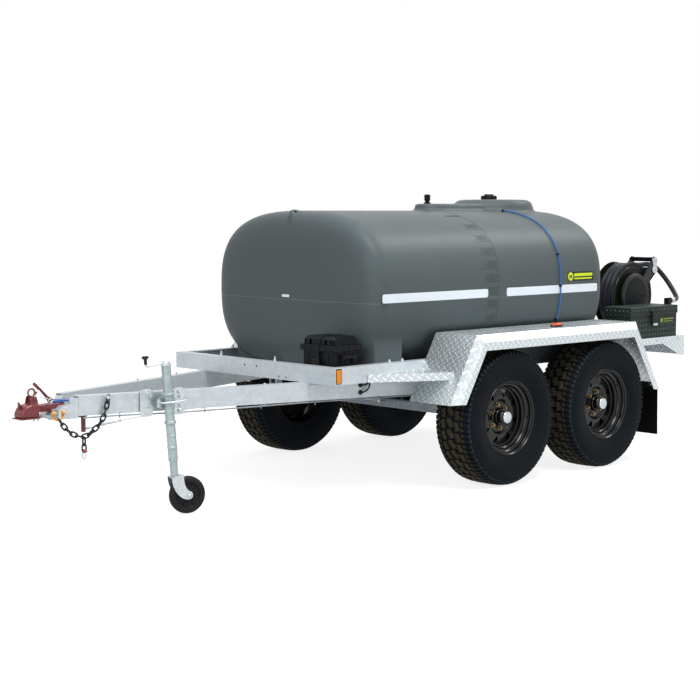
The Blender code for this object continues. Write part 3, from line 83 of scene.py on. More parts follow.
# Lines
def on_line(points, count):
    """Points evenly spaced along a smooth line through the given points."""
    dense = []
    full = [points[0]] + list(points) + [points[-1]]
    for i in range(1, len(full) - 2):
        p0, p1, p2, p3 = (Vector(full[i + k]) for k in (-1, 0, 1, 2))
        for k in range(24):
            t = k / 24
            dense.append(0.5 * ((2 * p1) + (p2 - p0) * t + (2 * p0 - 5 * p1 + 4 * p2 - p3) * t * t
                    + (3 * p1 - p0 - 3 * p2 + p3) * t ** 3))
    dense.append(Vector(points[-1]))
    lengths = [0.0]
    for a, b in zip(dense, dense[1:]):
        lengths.append(lengths[-1] + (b - a).length)
    result = []
    j = 0
    for k in range(count + 1):
        want = lengths[-1] * k / count
        while j < len(dense) - 2 and lengths[j + 1] < want:
            j += 1
        span = max(lengths[j + 1] - lengths[j], 1e-9)
        result.append(dense[j].lerp(dense[j + 1], min(1.0, max(0.0, (want - lengths[j]) / span))))
    return result


# Pieces
class Maker:
    """Gathers the faces of one piece. Handing it over starts the next one."""

    def __init__(self):
        self.bm = bmesh.new()

    def mesh(self, name):
        bmesh.ops.recalc_face_normals(self.bm, faces=self.bm.faces)
        mesh = bpy.data.meshes.new(name)
        self.bm.to_mesh(mesh)
        self.bm.free()
        self.bm = bmesh.new()
        return mesh

    def done(self, name, looks, *body_and_replaced, **facts):
        return placed(name, self.mesh(name), looks, *body_and_replaced, **facts)

    def face(self, verts, look=0):
        self.bm.faces.new(verts).material_index = look

    def skin(self, rows, look=0, closed=False, part=False):
        """Faces between rows of vertices round the piece. A row of one vertex is a tip."""
        count = max(map(len, rows))
        for a, b in zip(rows, rows[1:] + rows[:1] if closed else rows[1:]):
            for k in range(count - part):
                i = (k + 1) % count
                if len(a) > 1 and len(b) > 1:
                    self.face((a[k], a[i], b[i], b[k]), look)
                elif len(b) > 1:
                    self.face((a[0], b[i], b[k]), look)
                elif len(a) > 1:
                    self.face((a[k], a[i], b[0]), look)

    def rings(self, rings, closed=False):
        rows = [[self.bm.verts.new(p) for p in ring] for ring in rings]
        self.skin(rows, closed=closed)
        if not closed:
            self.face(rows[0][::-1])
            self.face(rows[-1])

    def lathe(self, profile, place=HERE, steps=48, look=0, closed=False, start=0.0, sweep=None):
        """Profile of (radius, height) turned about the frame's Z axis."""
        rows = []
        for r, h in profile:
            count = steps + (sweep is not None) if r > 1e-6 else 1
            turns = (start + (sweep or 2 * pi) * k / steps for k in range(count))
            rows.append([self.bm.verts.new(place @ V(r * cos(a), r * sin(a), h)) for a in turns])
        self.skin(rows, look, closed, sweep is not None)
        if sweep is not None and closed:
            self.face([row[0] for row in rows], look)
            self.face([row[-1] for row in reversed(rows)], look)

    def rod(self, start, end, radius, radius_end=None, sides=24, look=0, soft=0.0, turn=0.0):
        """A round bar between two points, with softened ends."""
        way = Vector(end) - Vector(start)
        place = move(start) @ way.to_track_quat("Z", "X").to_matrix().to_4x4()
        r2 = radius if radius_end is None else radius_end
        length = way.length
        profile = [(0, 0), (radius, 0), (r2, length), (0, length)]
        if soft:
            profile = [(0, 0), (radius - soft, 0), (radius - soft * 0.3, soft * 0.3), (radius, soft),
                    (r2, length - soft), (r2 - soft * 0.3, length - soft * 0.3), (r2 - soft, length),
                    (0, length)]
        self.lathe(profile, place, sides, look, start=turn)

    def box(self, corner, opposite, place=HERE):
        x, y, z = map(sorted, zip(corner, opposite))
        v = [self.bm.verts.new(place @ V(a, b, c)) for c in z for b in y for a in x]
        for q in ((0, 2, 3, 1), (4, 5, 7, 6), (0, 1, 5, 4), (2, 6, 7, 3), (0, 4, 6, 2), (1, 3, 7, 5)):
            self.face([v[i] for i in q])

    def plate(self, points, low, high, place=HERE):
        """A flat outline in the frame's XY plane, given thickness along its Z."""
        self.rings([[place @ V(x, y, z) for x, y in points] for z in (low, high)])

    def upright(self, points, y0, y1):
        """A side outline of (x, z), given width along Y."""
        self.plate(points, -y1, -y0, STAND)

    def tube(self, points, radius, sides=12, closed=False, flat=1.0):
        """A bar of round or oval section along points."""
        pts = [Vector(p) for p in points]
        n = len(pts)
        rings = []
        normal = None
        for i, p in enumerate(pts):
            before = pts[(i - 1) % n] if closed or i else pts[i]
            after = pts[(i + 1) % n] if closed or i < n - 1 else pts[i]
            way = (after - before).normalized()
            if normal is None:
                normal = way.orthogonal() if abs(way.z) > 0.9 else way.cross(V(0, 0, 1))
                normal.normalize()
            normal = (normal - way * normal.dot(way)).normalized()
            other = way.cross(normal)
            rings.append([p + radius * (normal * x + other * flat * y) for x, y in circle(sides, 1, 1)])
        self.rings(rings, closed=closed)


def soften(ob, width, segments=2, angle=BEVEL_ANGLE):
    mod = ob.modifiers.new("edges", "BEVEL")
    mod.width = width
    mod.segments = segments
    mod.limit_method = "ANGLE"
    mod.angle_limit = radians(angle)


def placed(name, mesh, looks, body="trailer", replaces=(), sharp=35, bevel=0.0, segments=2, slot=None,
        at=HERE):
    ob = bpy.data.objects.new(name, mesh)
    bpy.context.scene.collection.objects.link(ob)
    ob.matrix_world = at
    looks = looks if isinstance(looks, list) else [looks]
    if not mesh.materials:
        for look in looks:
            mesh.materials.append(look)
    mesh.polygons.foreach_set("use_smooth", [True] * len(mesh.polygons))
    mesh.set_sharp_from_angle(angle=radians(sharp))
    if bevel:
        soften(ob, bevel, segments)
    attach(ob, body)
    if replaces:
        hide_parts(*replaces)
    return ob


def loose(m):
    ob = bpy.data.objects.new("scrap", m.mesh("scrap"))
    bpy.context.scene.collection.objects.link(ob)
    return ob


def evaluated(ob):
    graph = bpy.context.evaluated_depsgraph_get()
    graph.update()
    return bpy.data.meshes.new_from_object(ob.evaluated_get(graph))


def settled(ob):
    """The object's mesh with its modifiers applied."""
    mesh = evaluated(ob)
    old = ob.data
    ob.modifiers.clear()
    ob.data = mesh
    bpy.data.meshes.remove(old)
    return mesh


def trimmed(raw, knife, way="DIFFERENCE"):
    """The mesh of raw with the knife taken off it, or only what lies in both."""
    raw = loose(raw) if isinstance(raw, Maker) else raw
    tool = loose(knife)
    mod = raw.modifiers.new("trim", "BOOLEAN")
    mod.operation = way
    mod.solver = "EXACT"
    mod.object = tool
    mesh = settled(raw)
    for scrap in (raw, tool):
        bpy.data.objects.remove(scrap)
    return mesh


# Materials
def tint(*rgb):
    """A screen colour of 0 to 255 as the shader's own numbers."""
    return tuple((c / 255) / 12.92 if c <= 10 else ((c / 255 + 0.055) / 1.055) ** 2.4 for c in rgb) + (1.0,)


class Value:
    """What one socket of a shader gives. Sums of values make the nodes for them."""

    def __init__(self, net, socket):
        self.net, self.socket = net, socket

    def __add__(self, other):
        return self.net.math("ADD", self, other)

    def __sub__(self, other):
        return self.net.math("SUBTRACT", self, other)

    def __rsub__(self, other):
        return self.net.math("SUBTRACT", other, self)

    def __mul__(self, other):
        return self.net.math("MULTIPLY", self, other)

    def __truediv__(self, other):
        return self.net.math("DIVIDE", self, other)

    def __abs__(self):
        return self.net.math("ABSOLUTE", self)


class Net:
    """The nodes of a material or world."""

    def __init__(self, tree):
        self.t = tree

    def node(self, kind, out=0, values=None, **facts):
        n = self.t.nodes.new("ShaderNode" + kind)
        for k, v in facts.items():
            setattr(n, k, v)
        for k, v in (values or {}).items():
            self.put(n.inputs[k], v)
        return Value(self, n.outputs[out])

    def put(self, socket, value):
        if isinstance(value, Value):
            self.t.links.new(value.socket, socket)
        else:
            socket.default_value = value

    def math(self, op, *values, clamp=False):
        return self.node("Math", 0, dict(enumerate(values)), operation=op, use_clamp=clamp)

    def split(self, vector):
        return [Value(self, s) for s in self.node("SeparateXYZ", 0, {0: vector}).socket.node.outputs]

    def seen(self, lighting, shown):
        """One shader that lights the object, and one that camera, glossy and transmission rays show."""
        rays = self.node("LightPath").socket.node.outputs
        pick, *others = (Value(self, rays[r]) for r in ("Is Camera Ray", "Is Glossy Ray",
                "Is Transmission Ray"))
        for ray in others:
            pick = self.math("MAXIMUM", pick, ray)
        return self.node("MixShader", 0, {0: pick, 1: lighting, 2: shown})


class Look(Net):
    """A procedural material, with short names for its nodes."""

    def __init__(self, name, rough=0.5, metal=0.0, coat=0.0, level=0.5):
        self.m = bpy.data.materials.new(name)
        self.m.use_nodes = True
        super().__init__(self.m.node_tree)
        self.p = self.t.nodes["Principled BSDF"].inputs
        for socket, value in (("Roughness", rough), ("Metallic", metal), ("Coat Weight", coat),
                ("Coat Roughness", 0.12), ("Specular IOR Level", level)):
            self.p[socket].default_value = value
        self.where = self.node("TexCoord", "Object")

    def step(self, value, low, high):
        """0 below low, 1 above high, smooth between."""
        return self.node("MapRange", "Result", {"Value": value, "From Min": low, "From Max": high},
                interpolation_type="SMOOTHSTEP")

    def noise(self, scale, detail=3.0, rough=0.55, stretch=None):
        where = self.where
        if stretch:
            where = self.node("VectorMath", 0, {0: where, 1: stretch}, operation="MULTIPLY")
        return self.node("TexNoise", "Fac", {"Vector": where, "Scale": scale, "Detail": detail,
                "Roughness": rough})

    def mix(self, fac, a, b):
        return self.node("Mix", 2, {0: fac, 6: a, 7: b}, data_type="RGBA")

    def colour(self, fac, a, b):
        self.put(self.p["Base Color"], self.mix(fac, a, b))

    def rough(self, value, low, high):
        self.put(self.p["Roughness"], self.node("MapRange", "Result", {"Value": value, "To Min": low,
                "To Max": high}))

    def bump(self, height, strength, distance=0.001):
        values = {"Height": height, "Strength": strength, "Distance": distance}
        if self.p["Normal"].links:
            values["Normal"] = Value(self, self.p["Normal"].links[0].from_socket)
        self.put(self.p["Normal"], self.node("Bump", 0, values))


def zinc(name, base, dark, metal=0.55, rough=0.4, grain=55.0):
    """Hot-dip zinc: spangle, faint streaks and a little dust."""
    k = Look(name, rough, metal)
    edge = k.node("TexVoronoi", "Distance", {"Vector": k.where, "Scale": grain})
    tone = k.split(Value(k, edge.socket.node.outputs["Color"]))[0]
    fine = k.noise(9.0, 4.0)
    streak = k.noise(14.0, 3.0, 0.6, (0.25, 0.25, 2.5))
    mixed = k.math("ADD", tone * 0.35 + fine * 0.65, (streak - 0.5) * 0.5, clamp=True)
    k.colour(mixed, tint(*dark), tint(*base))
    k.rough(mixed, rough + 0.12, rough - 0.08)
    k.bump(edge * 0.3 + fine, 0.12)
    return k.m


def tread_plate(name, base, dark, high, metal, rough, pitch=0.0445, strength=0.9, size=(0.47, 0.105),
        second=1.0, level=0.5):
    """Rolled plate with raised lozenges, each pointing at the middle of the next."""
    k = Look(name, rough, metal, level=level)
    nx, ny, nz = k.split(k.node("NewGeometry", "True Normal"))
    x, y, z = k.split(k.where)
    wall = k.math("GREATER_THAN", abs(ny), 0.8)
    u = ((x * nz - z * nx) * (1.0 - wall) + x * wall) / pitch
    v = (y * (1.0 - wall) + z * wall) / pitch

    def lozenges(shift, way):
        fu = k.math("FRACT", u + shift) - 0.5
        fv = k.math("FRACT", v + shift) - 0.5
        long = (fu + fv * way) * (0.7071 / size[0])
        wide = (fu - fv * way) * (0.7071 / size[1])
        return 1.0 - k.step(long * long + wide * wide, 0.35, 1.0)

    one, two = lozenges(100.0, 1.0), lozenges(100.5, -1.0)
    raised = k.math("MAXIMUM", one, two)
    # The raised lozenges are painted in the high colour: partly their polished tops, partly a painted
    # highlight. second dims one of the two sets, a painted highlight that only one set catches.
    lit = k.math("MAXIMUM", one, two * second)
    cloud = k.noise(6.0, 5.0, 0.6)
    fine = k.noise(160.0, 2.0)
    k.colour(lit * (fine * 0.45 + 0.55), k.mix(cloud, tint(*dark), tint(*base)), tint(*high))
    k.rough(cloud - raised * 0.4, rough - 0.05, rough + 0.15)
    k.bump(fine, 0.1)
    k.bump(raised, strength, 0.0016)
    return k.m


def paint(name, base, dark, rough=0.35, metal=0.0, coat=0.3, grain=0.1, level=0.4):
    """Sprayed or powder paint with orange peel, thin dust and dulled patches."""
    k = Look(name, rough, metal, coat, level)
    cloud = k.noise(11.0, 4.0)
    k.colour(cloud, tint(*dark), tint(*base))
    k.rough(cloud, rough - 0.08, rough + 0.12)
    k.bump(k.noise(260.0, 2.0), grain)
    return k.m


def moulded(name, base, dark, rough=0.5, grain=220.0, strength=0.25, cloud=8.0, level=0.25):
    """Moulded plastic or rubber with a fine texture."""
    k = Look(name, rough, level=level)
    slow = k.noise(cloud, 4.0)
    fine = k.noise(grain, 3.0, 0.6)
    k.colour(slow * 0.8 + fine * 0.2, tint(*dark), tint(*base))
    k.rough(slow, rough - 0.07, rough + 0.09)
    k.bump(fine, strength)
    return k.m


def tank_look():
    """Moulded poly, with the line where the mould parts."""
    k = Look("grey_poly", 0.46, level=0.15)
    z = k.split(k.where)[2]
    mottle = k.noise(26.0, 4.0, 0.6)
    body = k.mix(k.noise(1.6) * 0.6 + mottle * 0.4, tint(71, 78, 80), tint(84, 92, 94))
    wave = (k.noise(2.2, 2.0) - 0.5) * 0.016
    seam = 1.0 - k.step(abs(z + wave - 1.082), 0.0012, 0.0045)
    k.colour(seam * 0.35, body, tint(112, 120, 121))
    k.rough(mottle, 0.36, 0.5)
    k.bump(k.noise(140.0, 3.0, 0.6), 0.16)
    k.bump(seam, 0.45, 0.0015)
    return k.m


def tyre_look():
    """Rubber, with dry dust on the tread blocks."""
    k = Look("tyre_rubber", 0.68, level=0.08)
    x, y, z = k.split(k.where)
    r = k.math("SQRT", x * x + y * y)
    fine = k.noise(120.0, 3.0, 0.6)
    # The shoulder ribs are painted a lighter blue-grey than the wall: a painted highlight on their tops.
    rib = k.step(abs(z), 0.1195, 0.1225) * k.step(r, 0.362, 0.37) * (1.0 - k.step(abs(z), 0.129, 0.131))
    wall = k.mix(rib, k.mix(k.noise(7.0, 4.0), tint(9, 11, 15), tint(18, 23, 29)), tint(36, 44, 52))
    dust = k.mix(k.noise(34.0, 4.0, 0.65), tint(30, 28, 22), tint(78, 71, 54))
    k.colour(k.step(r, 0.3935, 0.3978) * (1.0 - k.step(abs(z), 0.088, 0.108)), wall, dust)
    k.rough(fine, 0.55, 0.82)
    k.bump(fine, 0.3)
    ring = k.math("SINE", r * (2 * pi / 0.0125))
    k.bump(ring * (k.step(r, 0.238, 0.246) * (1.0 - k.step(r, 0.282, 0.29))), 0.12, 0.0008)
    return k.m


galv = zinc("galvanised", (203, 209, 213), (176, 184, 189))
# Duller zinc, drawn darker for parts under the deck, the drawbar and the mudguards: the darker colour is
# painted shade.
galv_dull_shaded = zinc("galvanised_dull_painted_shade", (150, 156, 160), (110, 118, 124), 0.5, 0.5)
bright = zinc("zinc_plate_bright", (214, 220, 222), (160, 168, 172), 0.8, 0.28, 120.0)
post_zinc = zinc("galvanised_tube", (184, 196, 196), (138, 151, 153), 0.5, 0.38, 70.0)
# A dark zinc that paints the shade on the mudguards' inner walls.
shaded_zinc = zinc("galvanised_shaded", (92, 98, 98), (64, 70, 71), 0.3, 0.6)
# The last colour of each tread plate is the painted highlight and polish of its raised lozenges.
checker = tread_plate("checker_plate", (210, 217, 220), (184, 193, 198), (250, 252, 252), 0.75, 0.27,
        strength=0.55)
floor_plate = tread_plate("checker_plate_floor", (186, 190, 190), (150, 155, 156), (226, 230, 230), 0.6, 0.42)
black_plate = tread_plate("checker_plate_black", (38, 48, 44), (20, 28, 28), (122, 138, 132), 0.1, 0.42,
        0.034, 0.7, (0.36, 0.085), 0.12, 0.15)
satin_black = paint("satin_black", (26, 28, 29), (13, 14, 15), 0.36, 0.2, 0.2, level=0.25)
gloss_black = paint("gloss_black", (16, 18, 20), (8, 9, 10), 0.24, 0.1, 0.25, 0.05, 0.2)
olive_black = paint("black_flange", (19, 25, 12), (9, 13, 6), 0.46, 0.1, 0.05, level=0.12)
# A grey lighter than the satin black: on the flange rims it paints their highlight.
rim_grey = moulded("flange_rim", (36, 42, 48), (26, 32, 37), 0.36, 260.0, 0.1, level=0.15)
cover_black = moulded("reel_cover", (17, 21, 25), (12, 15, 19), 0.46, 260.0, 0.12, level=0.12)
maroon = paint("maroon_paint", (126, 44, 46), (88, 26, 30), 0.36, 0.1, 0.35, 0.22)
chain_black = paint("blackened_steel", (38, 41, 48), (20, 22, 27), 0.34, 0.6, 0.2)
yellow = paint("shackle_paint", (246, 172, 30), (216, 132, 12), 0.36)
red_orange = paint("latch_red", (226, 74, 36), (180, 48, 24), 0.4)
blue = paint("strut_blue", (38, 84, 168), (24, 54, 120), 0.34)
brass = zinc("yellow_zinc", (196, 174, 128), (118, 94, 58), 0.9, 0.25, 200.0)
dark_plastic = moulded("dark_plastic", (20, 22, 27), (10, 11, 14), 0.44, level=0.12)
knob_black = moulded("knob_black", (30, 31, 34), (18, 19, 22), 0.34, 120.0, 0.12)
flap_rubber = moulded("flap_rubber", (9, 9, 10), (4, 4, 5), 0.62, 90.0, 0.3, level=0.06)
blue_tube = moulded("sight_tube_blue", (44, 108, 172), (30, 80, 138), 0.3, 120.0, 0.1)
tape = moulded("reflective_tape", (232, 238, 244), (216, 224, 232), 0.3, 420.0, 0.25)
amber = moulded("amber_reflector", (240, 146, 20), (222, 120, 8), 0.28, 300.0, 0.4)
amber_lens = moulded("amber_lens", (222, 88, 30), (170, 54, 14), 0.16, 260.0, 0.3)
red_lens = moulded("red_lens", (186, 20, 24), (140, 10, 14), 0.14, 260.0, 0.35)
clear_lens = moulded("clear_lens", (226, 228, 228), (200, 204, 206), 0.14, 260.0, 0.35)
label_black = moulded("label_black", (22, 26, 22), (14, 17, 14), 0.35, 300.0, 0.05)
label_yellow = moulded("label_yellow", (206, 226, 40), (188, 210, 26), 0.35, 300.0, 0.05)
box_yellow = moulded("box_label_yellow", (138, 166, 48), (120, 148, 36), 0.35, 300.0, 0.05)
latch_black = moulded("latch_black", (34, 41, 39), (24, 30, 29), 0.42, 200.0, 0.1, level=0.15)
marks = moulded("level_marks", (69, 75, 77), (62, 68, 70), 0.6, 300.0, 0.2)
silver_label = moulded("plain_label", (196, 200, 204), (178, 183, 188), 0.4, 300.0, 0.05)
hose_rubber = moulded("hose_rubber", (42, 45, 53), (22, 24, 30), 0.38, 150.0, 0.2, 20.0, 0.18)
jockey_rubber = moulded("jockey_rubber", (38, 36, 39), (20, 19, 22), 0.55, 90.0, 0.35, level=0.15)
poly = tank_look()
tyre_rubber = tyre_look()
m = Maker()

# Free hose
HOSE_R = 0.017
HOSE_END = (2.459, -0.61, 0.98)
REEL = V(2.2, -0.3625, 1.011)
REEL_Y = (-0.44, -0.285)
COIL_R = 0.214
SWEEP_R = COIL_R + HOSE_R + 0.001
TURNS = 3
COIL_GAP = 0.004
TURN_STEPS = 72
coil_pitch = (REEL_Y[1] - REEL_Y[0] - 2 * (COIL_GAP + HOSE_R)) / TURNS
coil = []
for k in range(TURNS * TURN_STEPS + 1):
    a = pi / 2 + 2 * pi * k / TURN_STEPS
    coil.append(V(REEL.x + COIL_R * cos(a), REEL_Y[0] + COIL_GAP + HOSE_R + coil_pitch * k / TURN_STEPS,
            REEL.z + COIL_R * sin(a)))
coil = [coil[0] + V(0.14, 0, 0)] + coil + [coil[-1] - V(2 * HOSE_R, 0, 0)]


def sweep(radius):
    """A disc as wide as what the turning drum sweeps."""
    m = Maker()
    m.rod((REEL.x, REEL_Y[0] - 0.05, REEL.z), (REEL.x, REEL_Y[1] + 0.05, REEL.z), radius, sides=96)
    return m


top = coil[1].z
route = [(REEL.x, coil[1].y, top), (REEL.x + 0.034, coil[1].y, top), (REEL.x + 0.07, coil[1].y, top),
        (2.345, -0.412, top), (2.44, -0.405, top), (2.5, -0.415, 1.212), (2.556, -0.45, 1.15),
        (2.578, -0.505, 1.07), (2.545, -0.575, 1.0), (2.485, -0.606, 0.981), HOSE_END, (2.4235, -0.61, 0.98)]
spots = on_line(route, 72)
clear_x = REEL.x + sqrt((SWEEP_R + 0.001) ** 2 - (COIL_R - HOSE_R) ** 2)
first = next(k for k, p in enumerate(spots) if p.x > clear_x)
free = spots[first:]
hose_length = sum((q - p).length for p, q in zip(free, free[1:]))
m.tube(spots[:first + 1], HOSE_R, 24)
hose_start = placed("hose_start", trimmed(m, sweep(SWEEP_R + 0.0008)), hose_rubber, "trailer",
        ["delivery_hose"], 40)
m.tube(free, HOSE_R, 24)
hose = m.done("fuel_hose", hose_rubber, "trailer", ["delivery_hose"], 40)
m.rod(HOSE_END, (2.424, -0.61, 0.98), 0.0205, 0.02, 24, soft=0.002)
for x in (2.432, 2.446):
    m.rod((x - 0.004, -0.61, 0.98), (x + 0.004, -0.61, 0.98), 0.0215, sides=24, soft=0.001)
ferrule = m.done("hose_ferrule", bright)

# Wound hose
m.tube(coil, HOSE_R, 24)
placed("hose_turns", trimmed(m, sweep(SWEEP_R), "INTERSECT"), hose_rubber, "hose_drum", ["wound_hose"], 40)

# Materials of the solids that stay
STAY = {
    galv: ["drawbar_near", "drawbar_far", "deck_front_rail", "side_rail_near", "side_rail_far",
        "coupling_mount"],
    # The axles and rockers take the darker zinc, painted shade under the deck.
    galv_dull_shaded: ["front_axle", "rear_axle", "rocker_near", "rocker_far"],
    bright: ["nozzle_trigger"],
    cover_black: ["guide_roller_lower", "guide_roller_upper"],
    post_zinc: ["jockey_bracket", "jockey_tube", "jockey_leg"],
    checker: ["mudguard_near", "mudguard_far", "rear_platform"],
    floor_plate: ["deck_floor"],
    black_plate: ["pump_box", "pump_box_lid"],
    satin_black: ["spring_front_near", "spring_rear_near", "spring_front_far", "spring_rear_far",
        "reel_stand"],
    olive_black: ["reel_drum"],
    maroon: ["coupling_handle", "brake_lever", "fuel_pump"],
    dark_plastic: ["battery_box", "battery_lid", "battery_strap", "nozzle", "filler_cap", "breather"],
    flap_rubber: ["mudflap_near", "mudflap_far", "pump_box_latch"],
    red_lens: ["tail_lamp_near", "tail_lamp_far"],
}
EDGES = {"drawbar_near": 0.004, "drawbar_far": 0.004, "deck_front_rail": 0.003, "side_rail_near": 0.003,
        "side_rail_far": 0.003, "rear_platform": 0.0015, "pump_box_lid": 0.002, "battery_box": 0.002}
for look, names in STAY.items():
    for name in names:
        ob = NODES[name]
        if not ob.material_slots:
            ob.data.materials.append(look)
        for place in ob.material_slots:
            place.material = look
        if name in EDGES:
            soften(ob, EDGES[name], angle=CAD_BEVEL_ANGLE)

# The mudguards' inner walls are plain sheet, in a dark zinc that paints the shade under the arches
for sgn, tag in SIDES:
    mesh = NODES["mudguard_" + tag].data
    mesh.materials.append(shaded_zinc)
    for face in mesh.polygons:
        if abs(face.normal.y) > 0.9 and abs(face.center.y) < 0.8:
            face.material_index = len(mesh.materials) - 1

# Tyres
FRONT_X, REAR_X = 0.2025, 1.1315
HUBS = [(end + "_" + tag, x, side) for side, tag in SIDES
        for end, x in (("front", FRONT_X), ("rear", REAR_X))]
HUB_Y = 0.9005
HUB_Z = 0.4
TREAD_BLOCKS = 38
TREAD_TAPER = 0.0016
TREAD_CROWN = 5.0


def hub_frame(x, side, spin=0.0):
    facing = Matrix.Rotation(-side * pi / 2, 4, "X")
    return move((x, side * HUB_Y, HUB_Z)) @ facing @ Matrix.Rotation(spin, 4, "Z")


def tyre_mesh():
    m = Maker()
    half = mm(206.2, 100.5, 209, 109, 216, 111.8, 225, 112.8, 237, 116.5, 255, 123.5, 276, 129, 300, 131.5,
            322, 131.3, 324, 132.5, 327, 132.5, 329, 131, 345, 130, 362, 125.5, 376, 118, 385, 106, 389.5, 90,
            390.8, 60, 391.2, 25)
    inner = mm(380, 88, 345, 118, 300, 122, 230, 102, 206.2, 86)
    loop = half + [(r, -h) for r, h in half[::-1] + inner[::-1]] + inner
    m.lathe(loop, steps=120, closed=True)
    pitch = 2 * pi / TREAD_BLOCKS

    def block(corners, low, high, phase):
        """A tread block from corners of (share of the pitch, place across)."""
        ring0, ring1 = [], []
        cx = sum(c[0] for c in corners) / len(corners)
        cz = sum(c[1] for c in corners) / len(corners)
        for u, z in corners:
            drop = TREAD_CROWN * abs(z) ** 3
            a = pitch * (phase + u)
            ring0.append(V(low * cos(a), low * sin(a), z))
            a = pitch * (phase + cx + (u - cx) * (1 - TREAD_TAPER * 2 / (pitch * high * 0.4)))
            zz = cz + (z - cz) * (1 - TREAD_TAPER / 0.018)
            ring1.append(V((high - drop) * cos(a), (high - drop) * sin(a), zz))
        m.rings([ring0, ring1])

    middle = [(-0.43, -0.024), (0.05, -0.028), (0.18, -0.01), (0.47, -0.005), (0.41, 0.024), (-0.04, 0.028),
            (-0.16, 0.011), (-0.47, 0.006)]
    second = [(-0.46, 0.034), (-0.02, 0.031), (0.11, 0.041), (0.45, 0.036), (0.39, 0.07), (0.02, 0.074),
            (-0.07, 0.063), (-0.41, 0.068)]
    for k in range(TREAD_BLOCKS):
        block(middle, 0.3895, 0.4, k)
        block(second, 0.3885, 0.4, k + 0.32)
        block([(-u, -z) for u, z in second], 0.3885, 0.4, k + 0.18)
        for way, half in ((1, 0.0), (1, 0.5), (-1, 0.0), (-1, 0.5)):
            phase = k + half + (0.05 if way > 0 else 0.3)
            foot = 0.364 if half else 0.3715
            base = [(0.3885, 0.079), (0.3865, 0.102), (0.377, 0.115), (foot, 0.1225)]
            top = [(0.398, 0.079), (0.3935, 0.105), (0.383, 0.122), (foot + 0.004, 0.1285)]
            rings = []
            for u in (-0.165, 0.165):
                line = []
                for (r, z), edge in [(p, 0.0) for p in base] + [(p, 0.08) for p in top[::-1]]:
                    a = pitch * (phase + u * (1 - edge)) + way * (z - 0.08) * 0.5
                    line.append(V(r * cos(a), r * sin(a), way * z))
                rings.append(line)
            m.rings(rings)
    for start in (0.35, 3.49):
        for way in (1, -1):
            m.lathe([(0.292, way * 0.13), (0.293, way * 0.1322), (0.316, way * 0.1325),
                    (0.317, way * 0.1308)], steps=26, closed=True, start=start, sweep=1.15)
    return m.mesh("tyre")


tyre = tyre_mesh()
for k, (name, x, side) in enumerate(HUBS):
    placed("all_terrain_tyre_" + name, tyre, tyre_rubber, "wheel_" + name, ["tyre_" + name], 30,
            at=hub_frame(x, side, k * pi / 2))


# Rims with their windows, nuts, hub and valve
WINDOWS, NUTS = 8, 6


def rim_mesh():
    m = Maker()
    front = mm(219.5, 108, 220, 112, 218, 114.3, 215, 114.5, 212, 111, 208.5, 106, 204.5, 103.5, 202, 99,
            200.5, 86, 196, 81.5, 190, 80, 186.5, 76, 183, 64, 178, 59, 175, 56, 174.2, 40, 173.5, 33,
            168, 30, 160, 31, 130, 36, 115, 38.5, 105, 37, 98, 31, 93, 24, 88, 20.5, 60, 20, 52, 22, 48, 27,
            47, 42, 44, 46, 0, 46)
    back = mm(0, -30, 86, -30, 90, -26, 128, -26, 128, 15, 130, 31, 160, 25.5, 170, 24, 177, 20, 177, -60,
            196, -80, 201, -96, 208, -104, 214, -110, 218, -113, 220, -111, 219.5, -106, 210, -101,
            206.2, -98, 206.2, -84, 183, -56, 183, 53, 206.2, 83, 206.2, 100, 211, 103.5)
    m.lathe(front + back, steps=96, closed=True)
    c = Maker()
    for k in range(WINDOWS):
        a = 2 * pi * k / WINDOWS
        outline = [V(r * cos(a + off), r * sin(a + off)) for r, off in ((0.163, -0.17), (0.163, 0.17),
                (0.109, 0.0))]
        full = []
        for i in range(3):
            p, q, n = outline[i], outline[i - 1], outline[(i + 1) % 3]
            full += [p.lerp(q, 0.2), p.lerp(q, 0.09), p.lerp((q + n) / 2, 0.055), p.lerp(n, 0.09),
                    p.lerp(n, 0.2)]
        c.plate(full, 0.005, 0.075)
    mesh = trimmed(m, c)
    mesh.name = "rim"
    return mesh


def hub_mesh():
    m = Maker()
    for k in range(NUTS):
        a = radians(8.5 + 360 / NUTS * k)
        x, y = 0.07 * cos(a), 0.07 * sin(a)
        m.rod((x, y, 0.019), (x, y, 0.0235), 0.0128, sides=24, soft=0.0008, look=1)
        m.rod((x, y, 0.023), (x, y, 0.036), 0.0108, 0.01, 6, 1, turn=a)
        m.rod((x, y, 0.035), (x, y, 0.042), 0.006, 0.0054, 16, 1, 0.001)
    m.lathe(mm(0, 44, 38.5, 44, 38.5, 70, 36, 74, 30, 75, 0, 75), steps=40, look=2)
    m.lathe(mm(0, 74, 35, 74, 35, 79.5, 33.5, 80.5, 33.5, 84.5, 35, 85.5, 35, 93, 33, 96.2, 28, 97.2,
            25, 96.6, 0, 96.8), steps=40, look=0)
    m.lathe(mm(33, 80.6, 35.3, 80.6, 35.3, 84.4, 33, 84.4), steps=40, look=2, closed=True)
    m.rod((0.16, -0.118, 0.058), (0.15, -0.1105, 0.092), 0.0042, 0.0036, 12, 2, 0.001)
    m.rod((0.15, -0.1105, 0.0915), (0.148, -0.109, 0.099), 0.0048, 0.0044, 12, 2, 0.001)
    mesh = m.mesh("hub")
    for look in (bright, brass, gloss_black):
        mesh.materials.append(look)
    return mesh


rim = rim_mesh()
hub = hub_mesh()
for name, x, side in HUBS:
    body = "wheel_" + name
    turned = hub_frame(x, side, radians(31.5 if name.startswith("front") else 70.5))
    placed("steel_rim_" + name, rim, gloss_black, body, ["wheel_rim_" + name], 28, at=turned)
    placed("hub_and_nuts_" + name, hub, [bright, brass, gloss_black], body, sharp=30, at=turned)


# Drawbar
SLOPE = 0.29


def draw_half(x):
    return 0.475 + SLOPE * (x + 0.8975)


